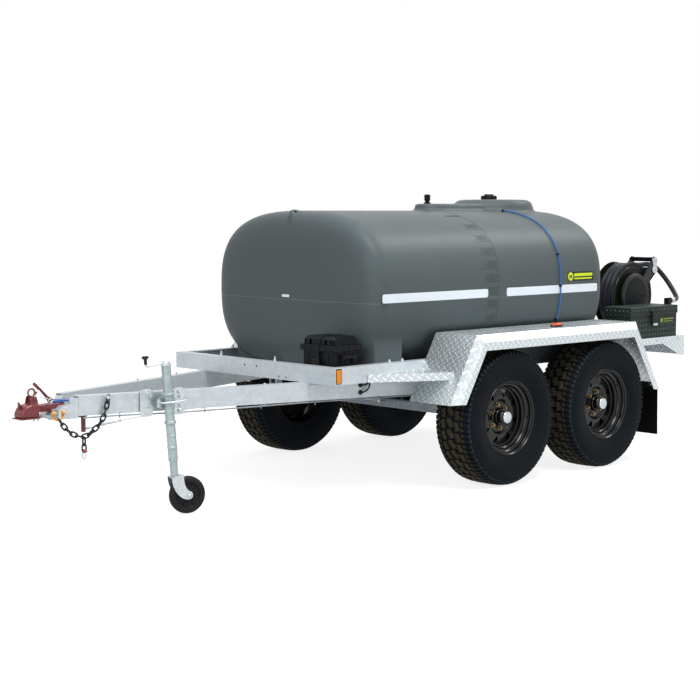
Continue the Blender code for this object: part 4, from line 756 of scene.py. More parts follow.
BAR_RUN = V(1, -SLOPE, 0).normalized()
BAR_OUT = V(-SLOPE, -1, 0).normalized()


def framed(at, *axes):
    return move(at) @ Matrix(axes).transposed().to_4x4()


def bar_point(x, z, out=0.0):
    """A point on the near drawbar's outer face."""
    return V(x, -draw_half(x), z) + BAR_OUT * out


def bar_frame(x, z):
    """X along the drawbar, Y up, Z out of its near face."""
    return framed(bar_point(x, z), BAR_RUN, V(0, 0, 1), BAR_OUT)


# Chain
WIRE = 0.0048


def link(m, start, end, twist):
    way = end - start
    place = move((start + end) / 2) @ way.to_track_quat("X", "Z").to_matrix().to_4x4()
    place = place @ Matrix.Rotation(twist, 4, "X")
    reach = way.length / 2 + WIRE * 0.96
    line = []
    for k in range(20):
        a = 2 * pi * k / 20
        line.append(place @ V(power(cos(a), 0.72) * reach, power(sin(a), 0.8) * 0.0112, 0))
    m.tube(line, WIRE, 10, True)


LUG = V(-2.292, -0.101, 0.5715)
TAIL = V(-2.1605, -0.1345, 0)
swag = mm(-2291.5, -103, 541.5, -2264.5, -110, 500, -2226.3, -120, 461.5, -2180.2, -131, 441.5,
        -2159.4, -134, 440.8, -2135.2, -138, 447, -2112.6, -144, 465, -2090, -150, 484, -2071.8, -156, 506,
        -2060, -164, 530, -2050, -170, 565, -2040, -174, 605, -2031.5, -174, 645.8, by=3)
drop = [TAIL + V(0, 0, z) for z in (0.4345, 0.399, 0.3635)]
for line, count in ((swag, 13), (drop, 2)):
    at = on_line(line, count)
    for k, (a, b) in enumerate(zip(at, at[1:])):
        link(m, a, b, radians(90 * (k % 2) + 7 * sin(2.4 * k)))
m.done("chain_links", chain_black, "trailer", ["safety_chain"])
m.tube([TAIL + V(x, 0, z) for x, z in circle(24, 0.0105, 0.0215, 0.0, 0.3455)], 0.0035, 12, True)
m.rod(TAIL + V(-0.0108, 0, 0.354), TAIL + V(-0.0108, 0, 0.338), 0.0052, sides=6, soft=0.0006)
m.done("quick_link", bright)
m.rod(TAIL + V(0.005, -0.001, 0.367), TAIL + V(0.0185, -0.001, 0.361), 0.0062, 0.0042, 12, soft=0.001)
m.rod(TAIL + V(-0.0065, -0.001, 0.3725), TAIL + V(0.002, -0.001, 0.369), 0.0052, sides=12, soft=0.001)
m.done("hook_latch", red_orange)

# Shackle through the lug on the nose block
line = [LUG + V(x, 0, z) for x, z in mm(-28, 2, -28.5, -12, -24.5, -24, -14, -33, 0, -36, 14, -33, 24.5, -24,
        28.5, -12, 28, 2)]
m.tube(on_line(line, 28), 0.0058, 14, flat=0.9)
for x in (-0.028, 0.028):
    m.rod(LUG + V(x - 0.0076, 0, 0), LUG + V(x + 0.0076, 0, 0), 0.0122, sides=20, soft=0.002)
m.done("bow_shackle", yellow, "trailer", ["chain_shackle"])
m.rod(LUG + V(-0.0385, 0, 0), LUG + V(0.04, 0, 0), 0.005, sides=16, soft=0.001)
m.rod(LUG + V(0.0358, 0, 0), LUG + V(0.043, 0, 0), 0.009, sides=6, soft=0.001)
m.done("shackle_pin", bright, bevel=0.001)

# Coupling
RING_X, RING_Z = -2.385, 0.645
m.upright(mm(-2470.5, 552, -2466, 578, -2454, 600, -2436, 613, -2405, 622, -2360, 624, -2360, 547), -0.043,
        0.043)
m.done("coupling_body", maroon, "coupling", ["coupling_head"], bevel=0.014, segments=4)
m.upright(mm(-2472.5, 544.5, -2472.5, 552, -2360, 554, -2360, 544.5), -0.0448, 0.0448)
m.upright(mm(-2364, 576.5, -2364, 611, -2206, 611, -2206, 576.5), -0.0325, 0.0325)
for s in (-1, 1):
    m.upright(mm(-2408.5, 612, -2404, 640, -2398.5, 658.5, -2372, 658.5, -2366.5, 640, -2361, 612),
            s * 0.0245 - 0.004, s * 0.0245 + 0.004)
    m.rod((RING_X, s * 0.031 - 0.0035, RING_Z), (RING_X, s * 0.031 + 0.0035, RING_Z), 0.0085, sides=6,
            soft=0.001)
m.upright(mm(-2464, 598, -2465.5, 633, -2460, 634, -2449, 618, -2433, 608, -2433, 600), -0.004, 0.004)
m.rod((-2.206, 0, 0.594), (-2.204, 0, 0.594), 0.028, sides=24)
m.done("coupling_ribs_and_neck", maroon, "coupling", bevel=0.0018, segments=3)
m.tube([(x, 0, z) for x, z in circle(32, 0.02, 0.02, RING_X, RING_Z + 0.031)], 0.0045, 14, True, flat=1.25)
m.box((RING_X - 0.0075, -0.0175, RING_Z - 0.0075), (RING_X + 0.0075, 0.0175, RING_Z + 0.0125))
m.rod((RING_X, -0.027, RING_Z), (RING_X, 0.027, RING_Z), 0.0052, sides=18)
m.tube([(-2.369, 0, 0.664), (-2.36, 0, 0.668), (-2.352, 0, 0.678)], 0.0045, 12)
m.done("ring_handle", maroon, "coupling_ring", ["coupling_handle"], bevel=0.001)

# Damper strut, release rod and cable eye behind the head
m.rod((-2.268, -0.02, 0.624), (-2.19, -0.026, 0.6225), 0.0115, 0.007, 20, soft=0.002)
m.rod((-2.19, -0.026, 0.6225), (-2.155, -0.03, 0.62), 0.007, 0.005, 20, soft=0.001)
m.done("damper_strut", blue)
m.rod((-2.348, -0.016, 0.65), (-2.3, -0.02, 0.6415), 0.0026, sides=10)
m.done("release_rod", bright, "coupling")
m.tube([(x, -0.022, z) for x, z in circle(16, 0.01, 0.008, -2.2875, 0.63)], 0.0022, 8, True)
m.rod((-2.279, -0.022, 0.628), (-2.264, -0.022, 0.625), 0.0055, sides=12, soft=0.001)
m.done("cable_eye", bright)

# Bolts and the brake's pull under the nose
for x in (-2.392, -2.3685):
    m.rod((x, -0.03, 0.547), (x, -0.03, 0.537), 0.0066, 0.006, 6, soft=0.001)
    m.rod((x, -0.03, 0.5375), (x, -0.03, 0.53), 0.0045, 0.004, 12, soft=0.001)
m.done("nose_bolts", bright, "coupling")
PULL = V(-2.076, -0.006, 0.5338)
m.rod(PULL, PULL - V(0, 0, 0.0898), 0.0125, sides=28, soft=0.002)
m.rod(PULL, PULL - V(0, 0, 0.0078), 0.0185, sides=28, soft=0.0015)
m.done("pull_post", maroon)
m.box((-2.145, -0.014, 0.5235), (-2.0975, 0.004, 0.5338))
m.done("pull_pad", maroon, bevel=0.0015)

# Brake lever in its own paint
m.upright(mm(-2292, 699, -2283, 704, -2248, 669, -2214, 635, -2180, 616, -2174, 604, -2178, 592, -2190, 586,
        -2205, 589, -2218, 608, -2228, 626), 0.1085, 0.1145)
knife = Maker()
knife.rod((-2.19, 0.09, 0.6), (-2.19, 0.13, 0.6), 0.0057, sides=24)
placed("brake_lever_bar", trimmed(m, knife), maroon, "hand_brake", ["brake_lever"], bevel=0.0012)
m.rod((-2.296, 0.118, 0.708), (-2.262, 0.118, 0.674), 0.0085, sides=20, soft=0.003)
m.done("brake_lever_grip", maroon, "hand_brake")

# Brake pipe, clips, turnbuckle and cable along the drawbar
line = [bar_point(x, z, o) for x, z, o in mm(-2150, 535, 4, -1990, 536.5, 5, -1830, 534.5, 5, -1631, 532, 5,
        -1299, 534.5, 5, -895, 540, 5, -585, 540.5, 5, -260, 541.5, 4, by=3)]
m.tube(on_line(line, 60), 0.004, 8)
for x in (-1.96, -1.5, -1.18, -0.862, -0.47):
    m.tube([bar_point(x, 0.548, 0.001), bar_point(x, 0.538, 0.0115), bar_point(x, 0.526, 0.007),
            bar_point(x, 0.527, -0.004)], 0.0028, 8)
# The brake pipe takes the darker zinc with its painted shade.
m.done("brake_pipe", galv_dull_shaded)
m.box((-2.064, -0.011, 0.4545), (-2.04, -0.001, 0.4665))
m.rod((-2.052, -0.015, 0.4605), (-2.052, 0.003, 0.4605), 0.0055, sides=6, soft=0.0008)
m.tube([(-2.042, -0.006, 0.4605), (-1.948, -0.004, 0.47)], 0.0034, 10)
frame_line = []
for k in range(24):
    a = 2 * pi * k / 24
    frame_line.append((-1.895 + power(cos(a), 0.5) * 0.053, -0.004 + power(sin(a), 0.7) * 0.0095,
            0.4752 + cos(a) * 0.0053))
m.tube(frame_line, 0.0036, 10, True)
m.rod((-1.956, -0.004, 0.4692), (-1.94, -0.004, 0.4708), 0.0078, sides=6, soft=0.001)
m.rod((-1.85, -0.004, 0.4796), (-1.834, -0.004, 0.4812), 0.0078, sides=6, soft=0.001)
m.tube(on_line(mm(-1836, -4, 480.8, -1600, -3, 494, -1100, 0, 503, -600, 0, 492, -200, 0, 462, 150, 0, 419,
        by=3), 40), 0.0026, 8)
m.box((0.138, -0.008, 0.409), (0.18, 0.008, 0.427))
m.done("brake_cable_and_turnbuckle", bright, bevel=0.0008)
for sign in (1, -1):
    for x in (-1.505, -1.15):
        a = V(x, sign * (draw_half(x) - 0.008), 0.6497)
        m.rod(a, a + V(0, 0, 0.011), 0.0062, sides=6, soft=0.001)
        m.rod(a + V(0, 0, -0.108), a + V(0, 0, -0.1025), 0.0062, sides=6, soft=0.001)
m.done("drawbar_bolts", bright)
for sign in (1, -1):
    flip = Matrix.Scale(-1, 4, V(0, 1, 0)) if sign > 0 else HERE
    m.plate([(-0.047, 0.033), (0.028, 0.033), (-0.047, -0.042)], 0.0004, 0.0045,
            flip @ bar_frame(-0.85, 0.6045))
    m.plate(mm(-33, 36, 33, 36, 33, -50, -33, -50), -0.001, 0.004, flip @ bar_frame(-0.17, 0.5975))
m.done("rail_gussets", galv, bevel=0.001)

# Grommets and the wiring loop through the drawbar
for z in (0.6185, 0.5765):
    f = bar_frame(-0.583, z)
    m.lathe(mm(0, 0, 13.5, 0, 14, 3, 11.5, 6.5, 6.5, 8.5, 0, 8.5), f, 24)
for line in (mm(-583, 618.5, 6, -578, 619, 18, -556, 622.5, 20, -545, 630, 14, -540, 647, 4, by=3),
        mm(-583, 576.5, 6, -574, 579, 18, -550, 593, 21, -535, 615, 16, -531, 647, 4, by=3)):
    m.tube(on_line([bar_point(*p) for p in line], 24), 0.0048, 10)
m.done("wiring_loop", knob_black, slot="black_rubber")


def bolt(place, foot, way, spans, radii=(0.012, 0.0085, 0.005), round=24):
    """Washer, nut and thread, each from and to a distance along way."""
    for k, (radius, sides, soft) in enumerate(zip(radii, (round, 6, 12), (0.0008, 0.001, 0.001))):
        start, end = (place @ (Vector(foot) + Vector(way) * s) for s in spans[2 * k:2 * k + 2])
        m.rod(start, end, radius, sides=sides, soft=soft)


# Deck fittings: reflectors, dark discs painted as the shade in the rail holes, bolts and hold-down clamps
for sign in (1, -1):
    m.box((-0.9005, sign * 0.703, 0.661), (-0.867, sign * 0.706, 0.7345))
m.done("corner_reflectors", amber, bevel=0.001)
# Dark discs on the front rail paint the shade inside its holes, which are not cut.
for y in (0.059, -0.047):
    m.lathe(mm(0, 0.5, 5.8, 0.5, 6.2, -0.2, 0, -0.2),
            move((-0.9105, y, 0.7125)) @ Matrix.Rotation(-pi / 2, 4, "Y"), 20)
m.done("rail_hole_shade", knob_black, slot="black_rubber")
RAIL_TOP = 0.746
for x in (-0.4745, -0.37, 1.17, 1.38):
    for y in (-0.69, 0.69):
        bolt(HERE, (x, y, RAIL_TOP), (0, 0, 1), (0.0, 0.004, 0.004, 0.013, 0.013, 0.02))
for y in (0.3, -0.18):
    bolt(HERE, (-0.885, y, RAIL_TOP), (0, 0, 1), (0.0, 0.0055, 0.005, 0.016, 0.015, 0.03))
m.done("rail_top_bolts", bright)
for x in (-0.69, 1.63):
    for y in (0.36, -0.36) if x > 0 else (0.36, 0.1):
        m.box((x - 0.03, y - 0.022, 0.6586), (x + 0.03, y + 0.022, 0.6646))
        m.box((x - 0.004, y - 0.022, 0.664), (x + 0.004, y + 0.022, 0.702))
        m.rod((x - 0.018, y, 0.664), (x - 0.018, y, 0.68), 0.0085, sides=6, soft=0.001)
m.done("tank_clamps", bright, bevel=0.001)

# Jockey wheel
POST_AT = V(-1.749, -0.315, 0.593)
POST_UP = (POST_AT - V(-1.7225, -0.323, 0.203)).normalized()
OUT = BAR_RUN.cross(POST_UP).normalized()
OUT = -OUT if OUT.y > 0 else OUT
FORE = POST_UP.cross(OUT).normalized()
FORE = -FORE if FORE.x < 0 else FORE
POST = framed(POST_AT, FORE, OUT, POST_UP)
FLAT = framed(POST_AT, BAR_RUN, -BAR_OUT, V(0, 0, 1))
PLATE_IN = (abs(POST_AT.y) - draw_half(POST_AT.x)) / hypot(1, SLOPE)
m.lathe(mm(21.2, -305.5, 25.2, -306, 25.4, -110, 32, -106, 32, -94, 25.6, -90, 25.4, 42, 32, 45, 32, 55,
        25.4, 58, 25.4, 194, 25.8, 199.8, 21.2, 199.8, 21.2, -305.5), POST, 40)
for z in (-0.17, -0.232):
    m.lathe([(0.025, z - 0.0052), (0.0272, z - 0.004), (0.0275, z), (0.0272, z + 0.004), (0.025, z + 0.0052)],
            POST, 40)
m.box((-0.0445, 0.0235, -0.0295), (0.0445, PLATE_IN - 0.031, 0.0295), place=FLAT)
m.done("jockey_post_tube", post_zinc, "jockey_post", ["jockey_tube"], bevel=0.001)
for x, h in ((-0.098, 0.035), (0.086, 0.03)):
    m.plate([(-h, -0.062), (0.01 - h, -0.072), (h - 0.01, -0.072), (h, -0.062), (h, 0.062), (h - 0.01, 0.072),
            (0.01 - h, 0.072), (-h, 0.062)], 0.0, 0.005, FLAT @ move((x, PLATE_IN - 0.0085, 0.0)) @ STAND)
    for z in (-0.05, 0.05):
        bolt(FLAT, (x, PLATE_IN, z), (0, -1, 0), (0.012, 0.016, 0.015, 0.024, 0.023, 0.031),
                (0.0115, 0.0088, 0.005), 20)
m.done("bracket_side_plates", bright, bevel=0.0012)
line = [FLAT @ Vector(p) for p in mm(-52, 4, 8, -50, -20, 8, -34, -34.5, 8.5, 0, -37.5, 10, 50, -36.5, 13,
        88, -34, 16, by=3)]
m.tube(on_line(line, 24), 0.0055, 12)
f = FLAT @ move((-0.052, 0.0, 0.008))
m.rod(f @ V(0, 0.02, 0), f @ V(0, -0.004, 0), 0.0095, sides=6, soft=0.001)
m.box((-0.06, 0.01, -0.02), (-0.044, 0.024, 0.022), place=FLAT)
m.done("swing_lock_handle", bright, "jockey_post", bevel=0.001)
m.lathe(mm(0, 222.5, 8, 225, 17.5, 224, 20.5, 220, 20.8, 215, 26.2, 212, 26.6, 201.5, 0, 200.5), POST, 40)
line = [POST @ Vector(p) for p in mm(-12, 0, 214, -40, 0, 213, -85, 0, 208.5, -103, 0, 208, -110, 0, 214,
        -110.5, 0, 225, by=3)]
m.tube(on_line(line, 24), 0.0052, 12)
m.done("crank_handle", bright, "crank", ["jockey_crank"])
knob = POST @ move((-0.1105, 0, 0.0))
m.lathe(mm(0, 218, 8, 219, 8.8, 226, 8.2, 240, 10.5, 247, 18, 252, 18.8, 257, 18, 262, 13, 264, 0, 264.5),
        knob, 32)
m.done("crank_knob", knob_black, "crank")
m.lathe(mm(0, -386, 20.6, -386, 20.6, -344, 20.9, -342, 20.6, -340, 20.6, 49, 0, 49), POST, 40)
m.done("inner_leg", post_zinc, "post_leg", ["jockey_leg"])
TRAIL, WHEEL_DROP = 0.062, -0.498
m.lathe(mm(0, -387.2, 23.5, -387.3, 25, -388.8, 25, -390.5, 0, -390.5), POST, 40)
m.box((-0.0275, -0.0362, -0.3925), (0.0475, 0.0362, -0.3885), place=POST)
cheek = mm(-27.5, -389, 40, -389, 39.5, -410, 41, -430, 45, -447, 53, -462, 64, -474, 76, -480, 83, -492,
        82, -506, 73, -516, 58, -519, 38, -515, 18, -503, 0, -485, -14, -462, -23.5, -435, -27.5, -410)
for low, high in ((0.0322, 0.0355), (-0.0355, -0.0322)):
    m.plate(cheek, low, high, POST @ STAND)
for y0, y1, radius, sides in ((-0.0445, 0.0445, 0.006, 16), (-0.0352, -0.0415, 0.0105, 6),
        (0.0352, 0.0415, 0.0105, 6)):
    m.rod(POST @ V(TRAIL, y0, WHEEL_DROP), POST @ V(TRAIL, y1, WHEEL_DROP), radius, sides=sides, soft=0.001)
m.done("castor_fork_plates", bright, "castor_fork", ["jockey_fork"], bevel=0.0008)
middle = V(TRAIL, 0, WHEEL_DROP)
CASTOR_R = (POST @ middle).z
spin = POST @ move(middle) @ Matrix.Rotation(-pi / 2, 4, "X")
half = mm(7.6, 27.5, 18, 27.5, 29, 26.5, 33, 22, 35, 16.5, 62, 15, 66, 19, 68, 23.5, 74, 25.5, 77, 24.5,
        79, 25.5, 86, 24.5)
half += [(CASTOR_R - 0.006, 0.02), (CASTOR_R - 0.0015, 0.012), (CASTOR_R, 0.004)]
m.lathe(half + [(r, -h) for r, h in half[::-1]], spin, 72, closed=True)
for k in range(6):
    for s in (-1, 1):
        m.box((0.032, -0.0022, s * 0.014), (0.065, 0.0022, s * 0.0215),
                spin @ Matrix.Rotation(pi * k / 3, 4, "Z"))
m.done("castor_rubber_wheel", jockey_rubber, "castor_wheel", ["jockey_wheel"])

# Tank
TANK_X0, TANK_X1, TANK_Z = -0.6245, 1.5635, 1.132
TANK_HALF_Y, TANK_HALF_Z, TANK_POWER = 0.706, 0.472, 2.78
TOP = 1.677
TURRET = V(1.2225, 0, 0)
FILL_X = 1.18


def tank_body():
    m = Maker()
    ends = [(0.0, 0.0), (0.0, 0.3), (0.0, 0.55), (0.0004, 0.62), (0.003, 0.7), (0.007, 0.765), (0.012, 0.82),
            (0.018, 0.862), (0.026, 0.9), (0.036, 0.93), (0.048, 0.953), (0.062, 0.971), (0.08, 0.986),
            (0.105, 0.997), (0.135, 1.0)]
    places = [(TANK_X0 + d, s) for d, s in ends]
    inner = [(TANK_X0 + 0.135 + (TANK_X1 - TANK_X0 - 0.27) * k / 8, 1.0) for k in range(1, 8)]
    places += inner + [(TANK_X1 - d, s) for d, s in reversed(ends)]
    rows = []
    for x, s in places:
        if s == 0:
            rows.append([m.bm.verts.new((x, 0, TANK_Z))])
            continue
        rows.append([m.bm.verts.new((x, power(c, 2 / TANK_POWER) * TANK_HALF_Y * s,
                TANK_Z + power(q, 2 / TANK_POWER) * TANK_HALF_Z * s))
                for c, q in circle(96, 1, 1, first=0.5)])
    m.skin(rows)
    for x0, x1 in ((-0.5475, -0.3275), (1.145, 1.405)):
        for y in (-0.652, 0.565 if x0 < 0 else 0.652):
            m.box((x0, copysign(0.4, y), 0.659), (x1, y, 0.9))
    m.box((-0.618, -0.123, 0.659), (-0.5, 0.062, 0.88))
    m.lathe([(0.0, TOP), (0.19, TOP), (0.225, TOP - 0.003), (0.247, TOP - 0.012), (0.26, TOP - 0.028),
            (0.267, TOP - 0.05), (0.275, 1.585), (0.0, 1.585)], move(TURRET), 72)
    saddle = mm(1000, -130, 620, -110, 550, -85, 525, -60, 515, -35)
    m.plate(saddle + [(x, -y) for x, y in saddle[::-1]], 1.56, 1.648)
    m.upright(mm(-610, 1540, -607, 1590, -598, 1606, -584, 1611.5, -560, 1612, -535, 1604, -505, 1590,
            -505, 1540), -0.016, 0.016)
    raw = loose(m)
    mod = raw.modifiers.new("skin", "REMESH")
    mod.mode = "VOXEL"
    mod.voxel_size = 0.011
    mod = raw.modifiers.new("ease", "SMOOTH")
    mod.factor = 0.5
    mod.iterations = 8
    settled(raw)
    h = Maker()
    h.rod((FILL_X, 0, TOP - 0.09), (FILL_X, 0, TOP + 0.05), 0.0385, sides=48)
    h.rod((-0.578, -0.06, 1.596), (-0.578, 0.06, 1.596), 0.008, sides=20)
    return trimmed(raw, h)


placed("poly_tank", tank_body(), poly, "trailer", ["tank"], 40)
FILLER = move((FILL_X, 0, TOP))
m.lathe(mm(38, -16, 44.5, -16, 44.5, 12.5, 43, 13.8, 39, 13.8, 38, 12.5), FILLER, 48, closed=True)
for z in (0.002, 0.007):
    m.lathe([(0.044, z - 0.0014), (0.045, z), (0.044, z + 0.0014)], FILLER, 48, closed=True)
m.done("filler_neck", poly)
m.lathe(mm(46, 1, 52, 1, 52.2, 20, 50, 24.5, 45.5, 26.8, 20, 27.5, 0, 27.5, 0, 15, 46, 15), FILLER, 48)
for x, y in circle(36, 0.052, 0.052, FILL_X):
    m.rod((x, y, TOP + 0.003), (x, y, TOP + 0.0195), 0.0014, sides=6)
m.box((-0.04, -0.0055, 0.026), (0.04, 0.0055, 0.0358), FILLER)
m.done("screw_cap", dark_plastic, "fuel_cap", ["filler_cap"])
spot = move((0.5765, 0, 1.648))
m.lathe(mm(0, -6, 12, -6, 12, 0.5, 22.5, 1, 22.5, 8, 15, 9, 15, 20, 20.5, 21, 21, 26, 18, 27.5, 18, 32,
        20.8, 33, 20.8, 39, 18, 40, 18, 44.5, 21.5, 46, 20.5, 53, 12, 59, 0, 60), spot, 40)
m.done("ribbed_breather", dark_plastic, "trailer", ["breather"])


# Things that follow the tank's near side
FILM = 0.0008


def tank_side(z, out=0.0):
    dz = max(-0.9999, min(0.9999, (z - TANK_Z) / TANK_HALF_Z))
    dy = (1 - abs(dz) ** TANK_POWER) ** (1 / TANK_POWER)
    ny = dy ** (TANK_POWER - 1) / TANK_HALF_Y
    nz = power(dz, TANK_POWER - 1) / TANK_HALF_Z
    size = hypot(ny, nz)
    return -(dy * TANK_HALF_Y + out * ny / size), z + out * nz / size


RUN = []
for k in range(241):
    z = TANK_Z + TANK_HALF_Z * sin(radians(-78 + 164 * k / 240))
    y, _ = tank_side(z)
    RUN.append((0.0 if not RUN else RUN[-1][0] + hypot(y - RUN[-1][1], z - RUN[-1][2]), y, z))


def at_height(z):
    """Distance along the side's line at height z."""
    for a, b in zip(RUN, RUN[1:]):
        if a[2] <= z <= b[2]:
            return a[0] + (b[0] - a[0]) * (z - a[2]) / (b[2] - a[2])
    return RUN[-1][0]


def wrapped(s, out):
    """Y and Z at a distance along the side's line, moved out from it."""
    for a, b in zip(RUN, RUN[1:]):
        if a[0] <= s <= b[0]:
            z = a[2] + (b[2] - a[2]) * (s - a[0]) / (b[0] - a[0])
            return tank_side(z, out)
    return tank_side(RUN[-1][2], out)


def on_tank(mesh, x, base, side=-1, out=0.0):
    """Lays a flat mesh, drawn in its XY plane with Z as its thickness, on the tank's side."""
    for v in mesh.vertices:
        y, h = wrapped(base + v.co.y, out + v.co.z)
        v.co = V(x + v.co.x, y if side < 0 else -y, h)
    mesh.update()
    return mesh


def words(text, size, depth):
    line = bpy.data.curves.new("words", "FONT")
    line.body = text
    line.size = size
    line.align_x = "RIGHT"
    line.extrude = depth
    line.resolution_u = 4
    ob = bpy.data.objects.new("words", line)
    bpy.context.scene.collection.objects.link(ob)
    mesh = evaluated(ob)
    mesh.materials.clear()
    bpy.data.objects.remove(ob)
    return mesh


def strip(x0, x1, low, high, round_by):
    """A flat strip with rounded ends."""
    points = []
    for cx, cy, a0 in ((x1 - round_by, high - round_by, 0), (x0 + round_by, high - round_by, 90),
            (x0 + round_by, low + round_by, 180), (x1 - round_by, low + round_by, 270)):
        for k in range(7):
            a = radians(a0 + 90 * k / 6)
            points.append((cx + round_by * cos(a), cy + round_by * sin(a)))
    m.plate(points, 0.0, FILM)


def cut_up(bm, step):
    """Cuts a flat piece along its length, so that it can bend."""
    heights = [v.co.y for v in bm.verts]
    place = min(heights) + step
    while place < max(heights):
        geom = bm.verts[:] + bm.edges[:] + bm.faces[:]
        bmesh.ops.bisect_plane(bm, geom=geom, plane_co=(0, place, 0), plane_no=(0, 1, 0))
        place += step


def on_side(name, x, base, looks, side=-1, out=0.0003, step=0.008):
    cut_up(m.bm, step)
    mesh = on_tank(m.mesh(name), x, base, side, out)
    if side > 0:
        mesh.flip_normals()
    return placed(name, mesh, looks, sharp=30)


for sgn, tag in SIDES:
    for x0, x1, end in ((-0.5485, 0.3555, "front"), (0.5295, 1.4385, "rear")):
        strip(x0, x1, -0.0255, 0.0255, 0.013)
        for y in (-0.0085, 0.0085):
            m.box((x0 + 0.006, y - 0.0005, 0.0006), (x1 - 0.006, y + 0.0005, 0.0011))
        on_side("reflective_strip_%s_%s" % (end, tag), 0.0, at_height(1.11), tape, sgn)

# Level marks
SCALE_X = 0.44
LEVELS = ((1.5175, "2000"), (1.445, "1800"), (1.365, "1600"), (1.285, "1400"), (1.206, "1200"),
        (1.127, "1000"), (1.048, "800"), (0.965, "600"))
for z, text, name, size in [(z - 0.018, text, text, 0.056)
        for z, text in LEVELS] + [(1.566, "LITRES", "heading", 0.04)]:
    mesh = on_tank(words(text, size, 0.0006), SCALE_X, at_height(z), out=0.0002)
    placed("level_" + name, mesh, marks, sharp=30)
for z, text in LEVELS:
    at = at_height(z - 0.026)
    m.box((-0.135, at - 0.0011, 0.0), (0.012, at + 0.0011, 0.0009))
low = at_height(0.905)
high = at_height(1.598)
m.box((0.012, low, 0.0), (0.0145, high, 0.001))
m.box((-0.17, high - 0.0022, 0.0), (0.0145, high, 0.001))
on_side("level_lines", SCALE_X, 0.0, marks, out=0.0, step=0.006)

# Plain label: dark ground, a disc and two bars
LABEL = (1.2475, at_height(1.186))
strip(-0.118, 0.15, -0.0285, 0.0285, 0.004)
on_side("label_ground", *LABEL, label_black)
m.plate(circle(32, 0.027, 0.027, -0.089), 0.0, FILM)
strip(-0.052, 0.138, 0.0, 0.019, 0.002)
strip(-0.052, 0.132, -0.019, -0.009, 0.002)
on_side("label_shapes", *LABEL, label_yellow, out=0.0012)
for dx in (-0.097, -0.081):
    m.plate(circle(20, 0.005, 0.011, dx), 0.0, FILM)
on_side("label_dots", *LABEL, label_black, out=0.0021)
m.box((TANK_X0 - 0.003, -0.013, 1.096), (TANK_X0 - 0.0003, 0.05, 1.111))
m.done("front_reflector", tape, bevel=0.0012)

# Sight tube with its end fittings
TUBE_X = 1.0465
TUBE_LOW, TUBE_HIGH = 0.914, 1.5955
line = []
for k in range(61):
    t = k / 60
    y, z = tank_side(TUBE_LOW + (TUBE_HIGH - TUBE_LOW) * sin(t * pi / 2) ** 1.15, 0.009)
    line.append((TUBE_X, y, z))
m.tube(line, 0.005, 12)
m.done("level_tube", blue_tube, "trailer", ["sight_tube"])
y, z = tank_side(1.596, 0.0)
m.rod((TUBE_X, y, z - 0.004), (TUBE_X, y - 0.004, z + 0.016), 0.0095, 0.008, 16, soft=0.001)
y, z = tank_side(0.918, 0.0)
m.rod((TUBE_X, y + 0.006, z), (TUBE_X, y - 0.0135, z), 0.0095, 0.0085, 16, soft=0.001)
for z in (1.132, 1.33):
    y, _ = tank_side(z)
    m.box((TUBE_X - 0.008, y - 0.015, z - 0.006), (TUBE_X + 0.008, y + 0.002, z + 0.006))
m.done("tube_fittings", dark_plastic, bevel=0.001)

# Battery box: ribbed lid, strap with buckle, handle
BX, BY = (-0.832, -0.642), (-0.61, -0.358)
LID_RIBS = ((BY, (-0.812, -0.762, -0.712, -0.662), 1), (BX, (-0.59, -0.545, -0.42, -0.378), -1))
for (low, high), others, swap in LID_RIBS:  # a swap of -1 lays them along X
    for c in others:
        for half, d0, d1, z0, z1 in ((0.011, low - 0.0138, low + 0.004, 0.824, 0.857), (0.011, high - 0.004,
                high + 0.0138, 0.824, 0.857), (0.01, low + 0.001, high - 0.001, 0.85, 0.89)):
            m.box((*(c - half, d0)[::swap], z0), (*(c + half, d1)[::swap], z1))
m.done("lid_ribs", dark_plastic, "battery_cover", bevel=0.0022)
for k in range(3):
    x = BX[0] + 0.03 + k * 0.062
    m.box((x - 0.002, BY[0] - 0.003, 0.664), (x + 0.002, BY[0] + 0.001, 0.812))
for y in (-0.565, -0.405):
    m.box((BX[0] - 0.003, y - 0.002, 0.664), (BX[0] + 0.001, y + 0.002, 0.812))
m.box((-0.786, BY[0] - 0.026, 0.783), (-0.688, BY[0] - 0.01, 0.804))
for x in (-0.786, -0.696):
    m.box((x, BY[0] - 0.0115, 0.76), (x + 0.008, BY[0] + 0.001, 0.804))
m.done("case_ribs_and_grip", dark_plastic, bevel=0.0015)
mid = -0.484
for z0, z1 in ((0.733, 0.7372), (0.7528, 0.7572), (0.7728, 0.7772)):
    m.box((BX[0] - 0.024, mid - 0.029, z0), (BX[0] - 0.0205, mid + 0.029, z1))
for y in (mid - 0.027, mid + 0.027):
    m.box((BX[0] - 0.024, y - 0.0024, 0.733), (BX[0] - 0.0205, y + 0.0024, 0.7772))
m.done("strap_buckle", knob_black, "battery_cover", bevel=0.0008)

# Mudguards: marker lamps, stays and flap bolts
for sgn, tag in SIDES:
    lamp = move((0.755, sgn * 0.915, 0.899)) @ Matrix.Diagonal((1.55, 0.85, 1, 1))
    m.lathe(mm(0, 0, 33, 0, 33.5, 6, 31, 10.5, 0, 10.5), lamp, 40)
    m.done("marker_lamp_base_" + tag, knob_black)
    m.lathe(mm(0, 9.5, 30, 9.5, 29, 15, 24.5, 19.5, 15, 22.5, 0, 23.5), lamp, 40)
    m.done("marker_lamp_lens_" + tag, amber_lens)
    for x0, x1 in ((0.628, 0.632), (1.07, 1.074)):
        m.box((x0, sgn * 0.7075, 0.864), (x1, sgn * 1.01, 0.8958))
    # The stays under the guards take the darker zinc with its painted shade.
    m.done("guard_stays_" + tag, galv_dull_shaded, bevel=0.0008, slot="checker_plate")
    for y in (0.79, 0.88, 0.97):
        m.rod((1.6735, sgn * y, 0.482), (1.6865, sgn * y, 0.4745), 0.0095, sides=20, soft=0.0015)
    m.done("flap_bolts_" + tag, bright)

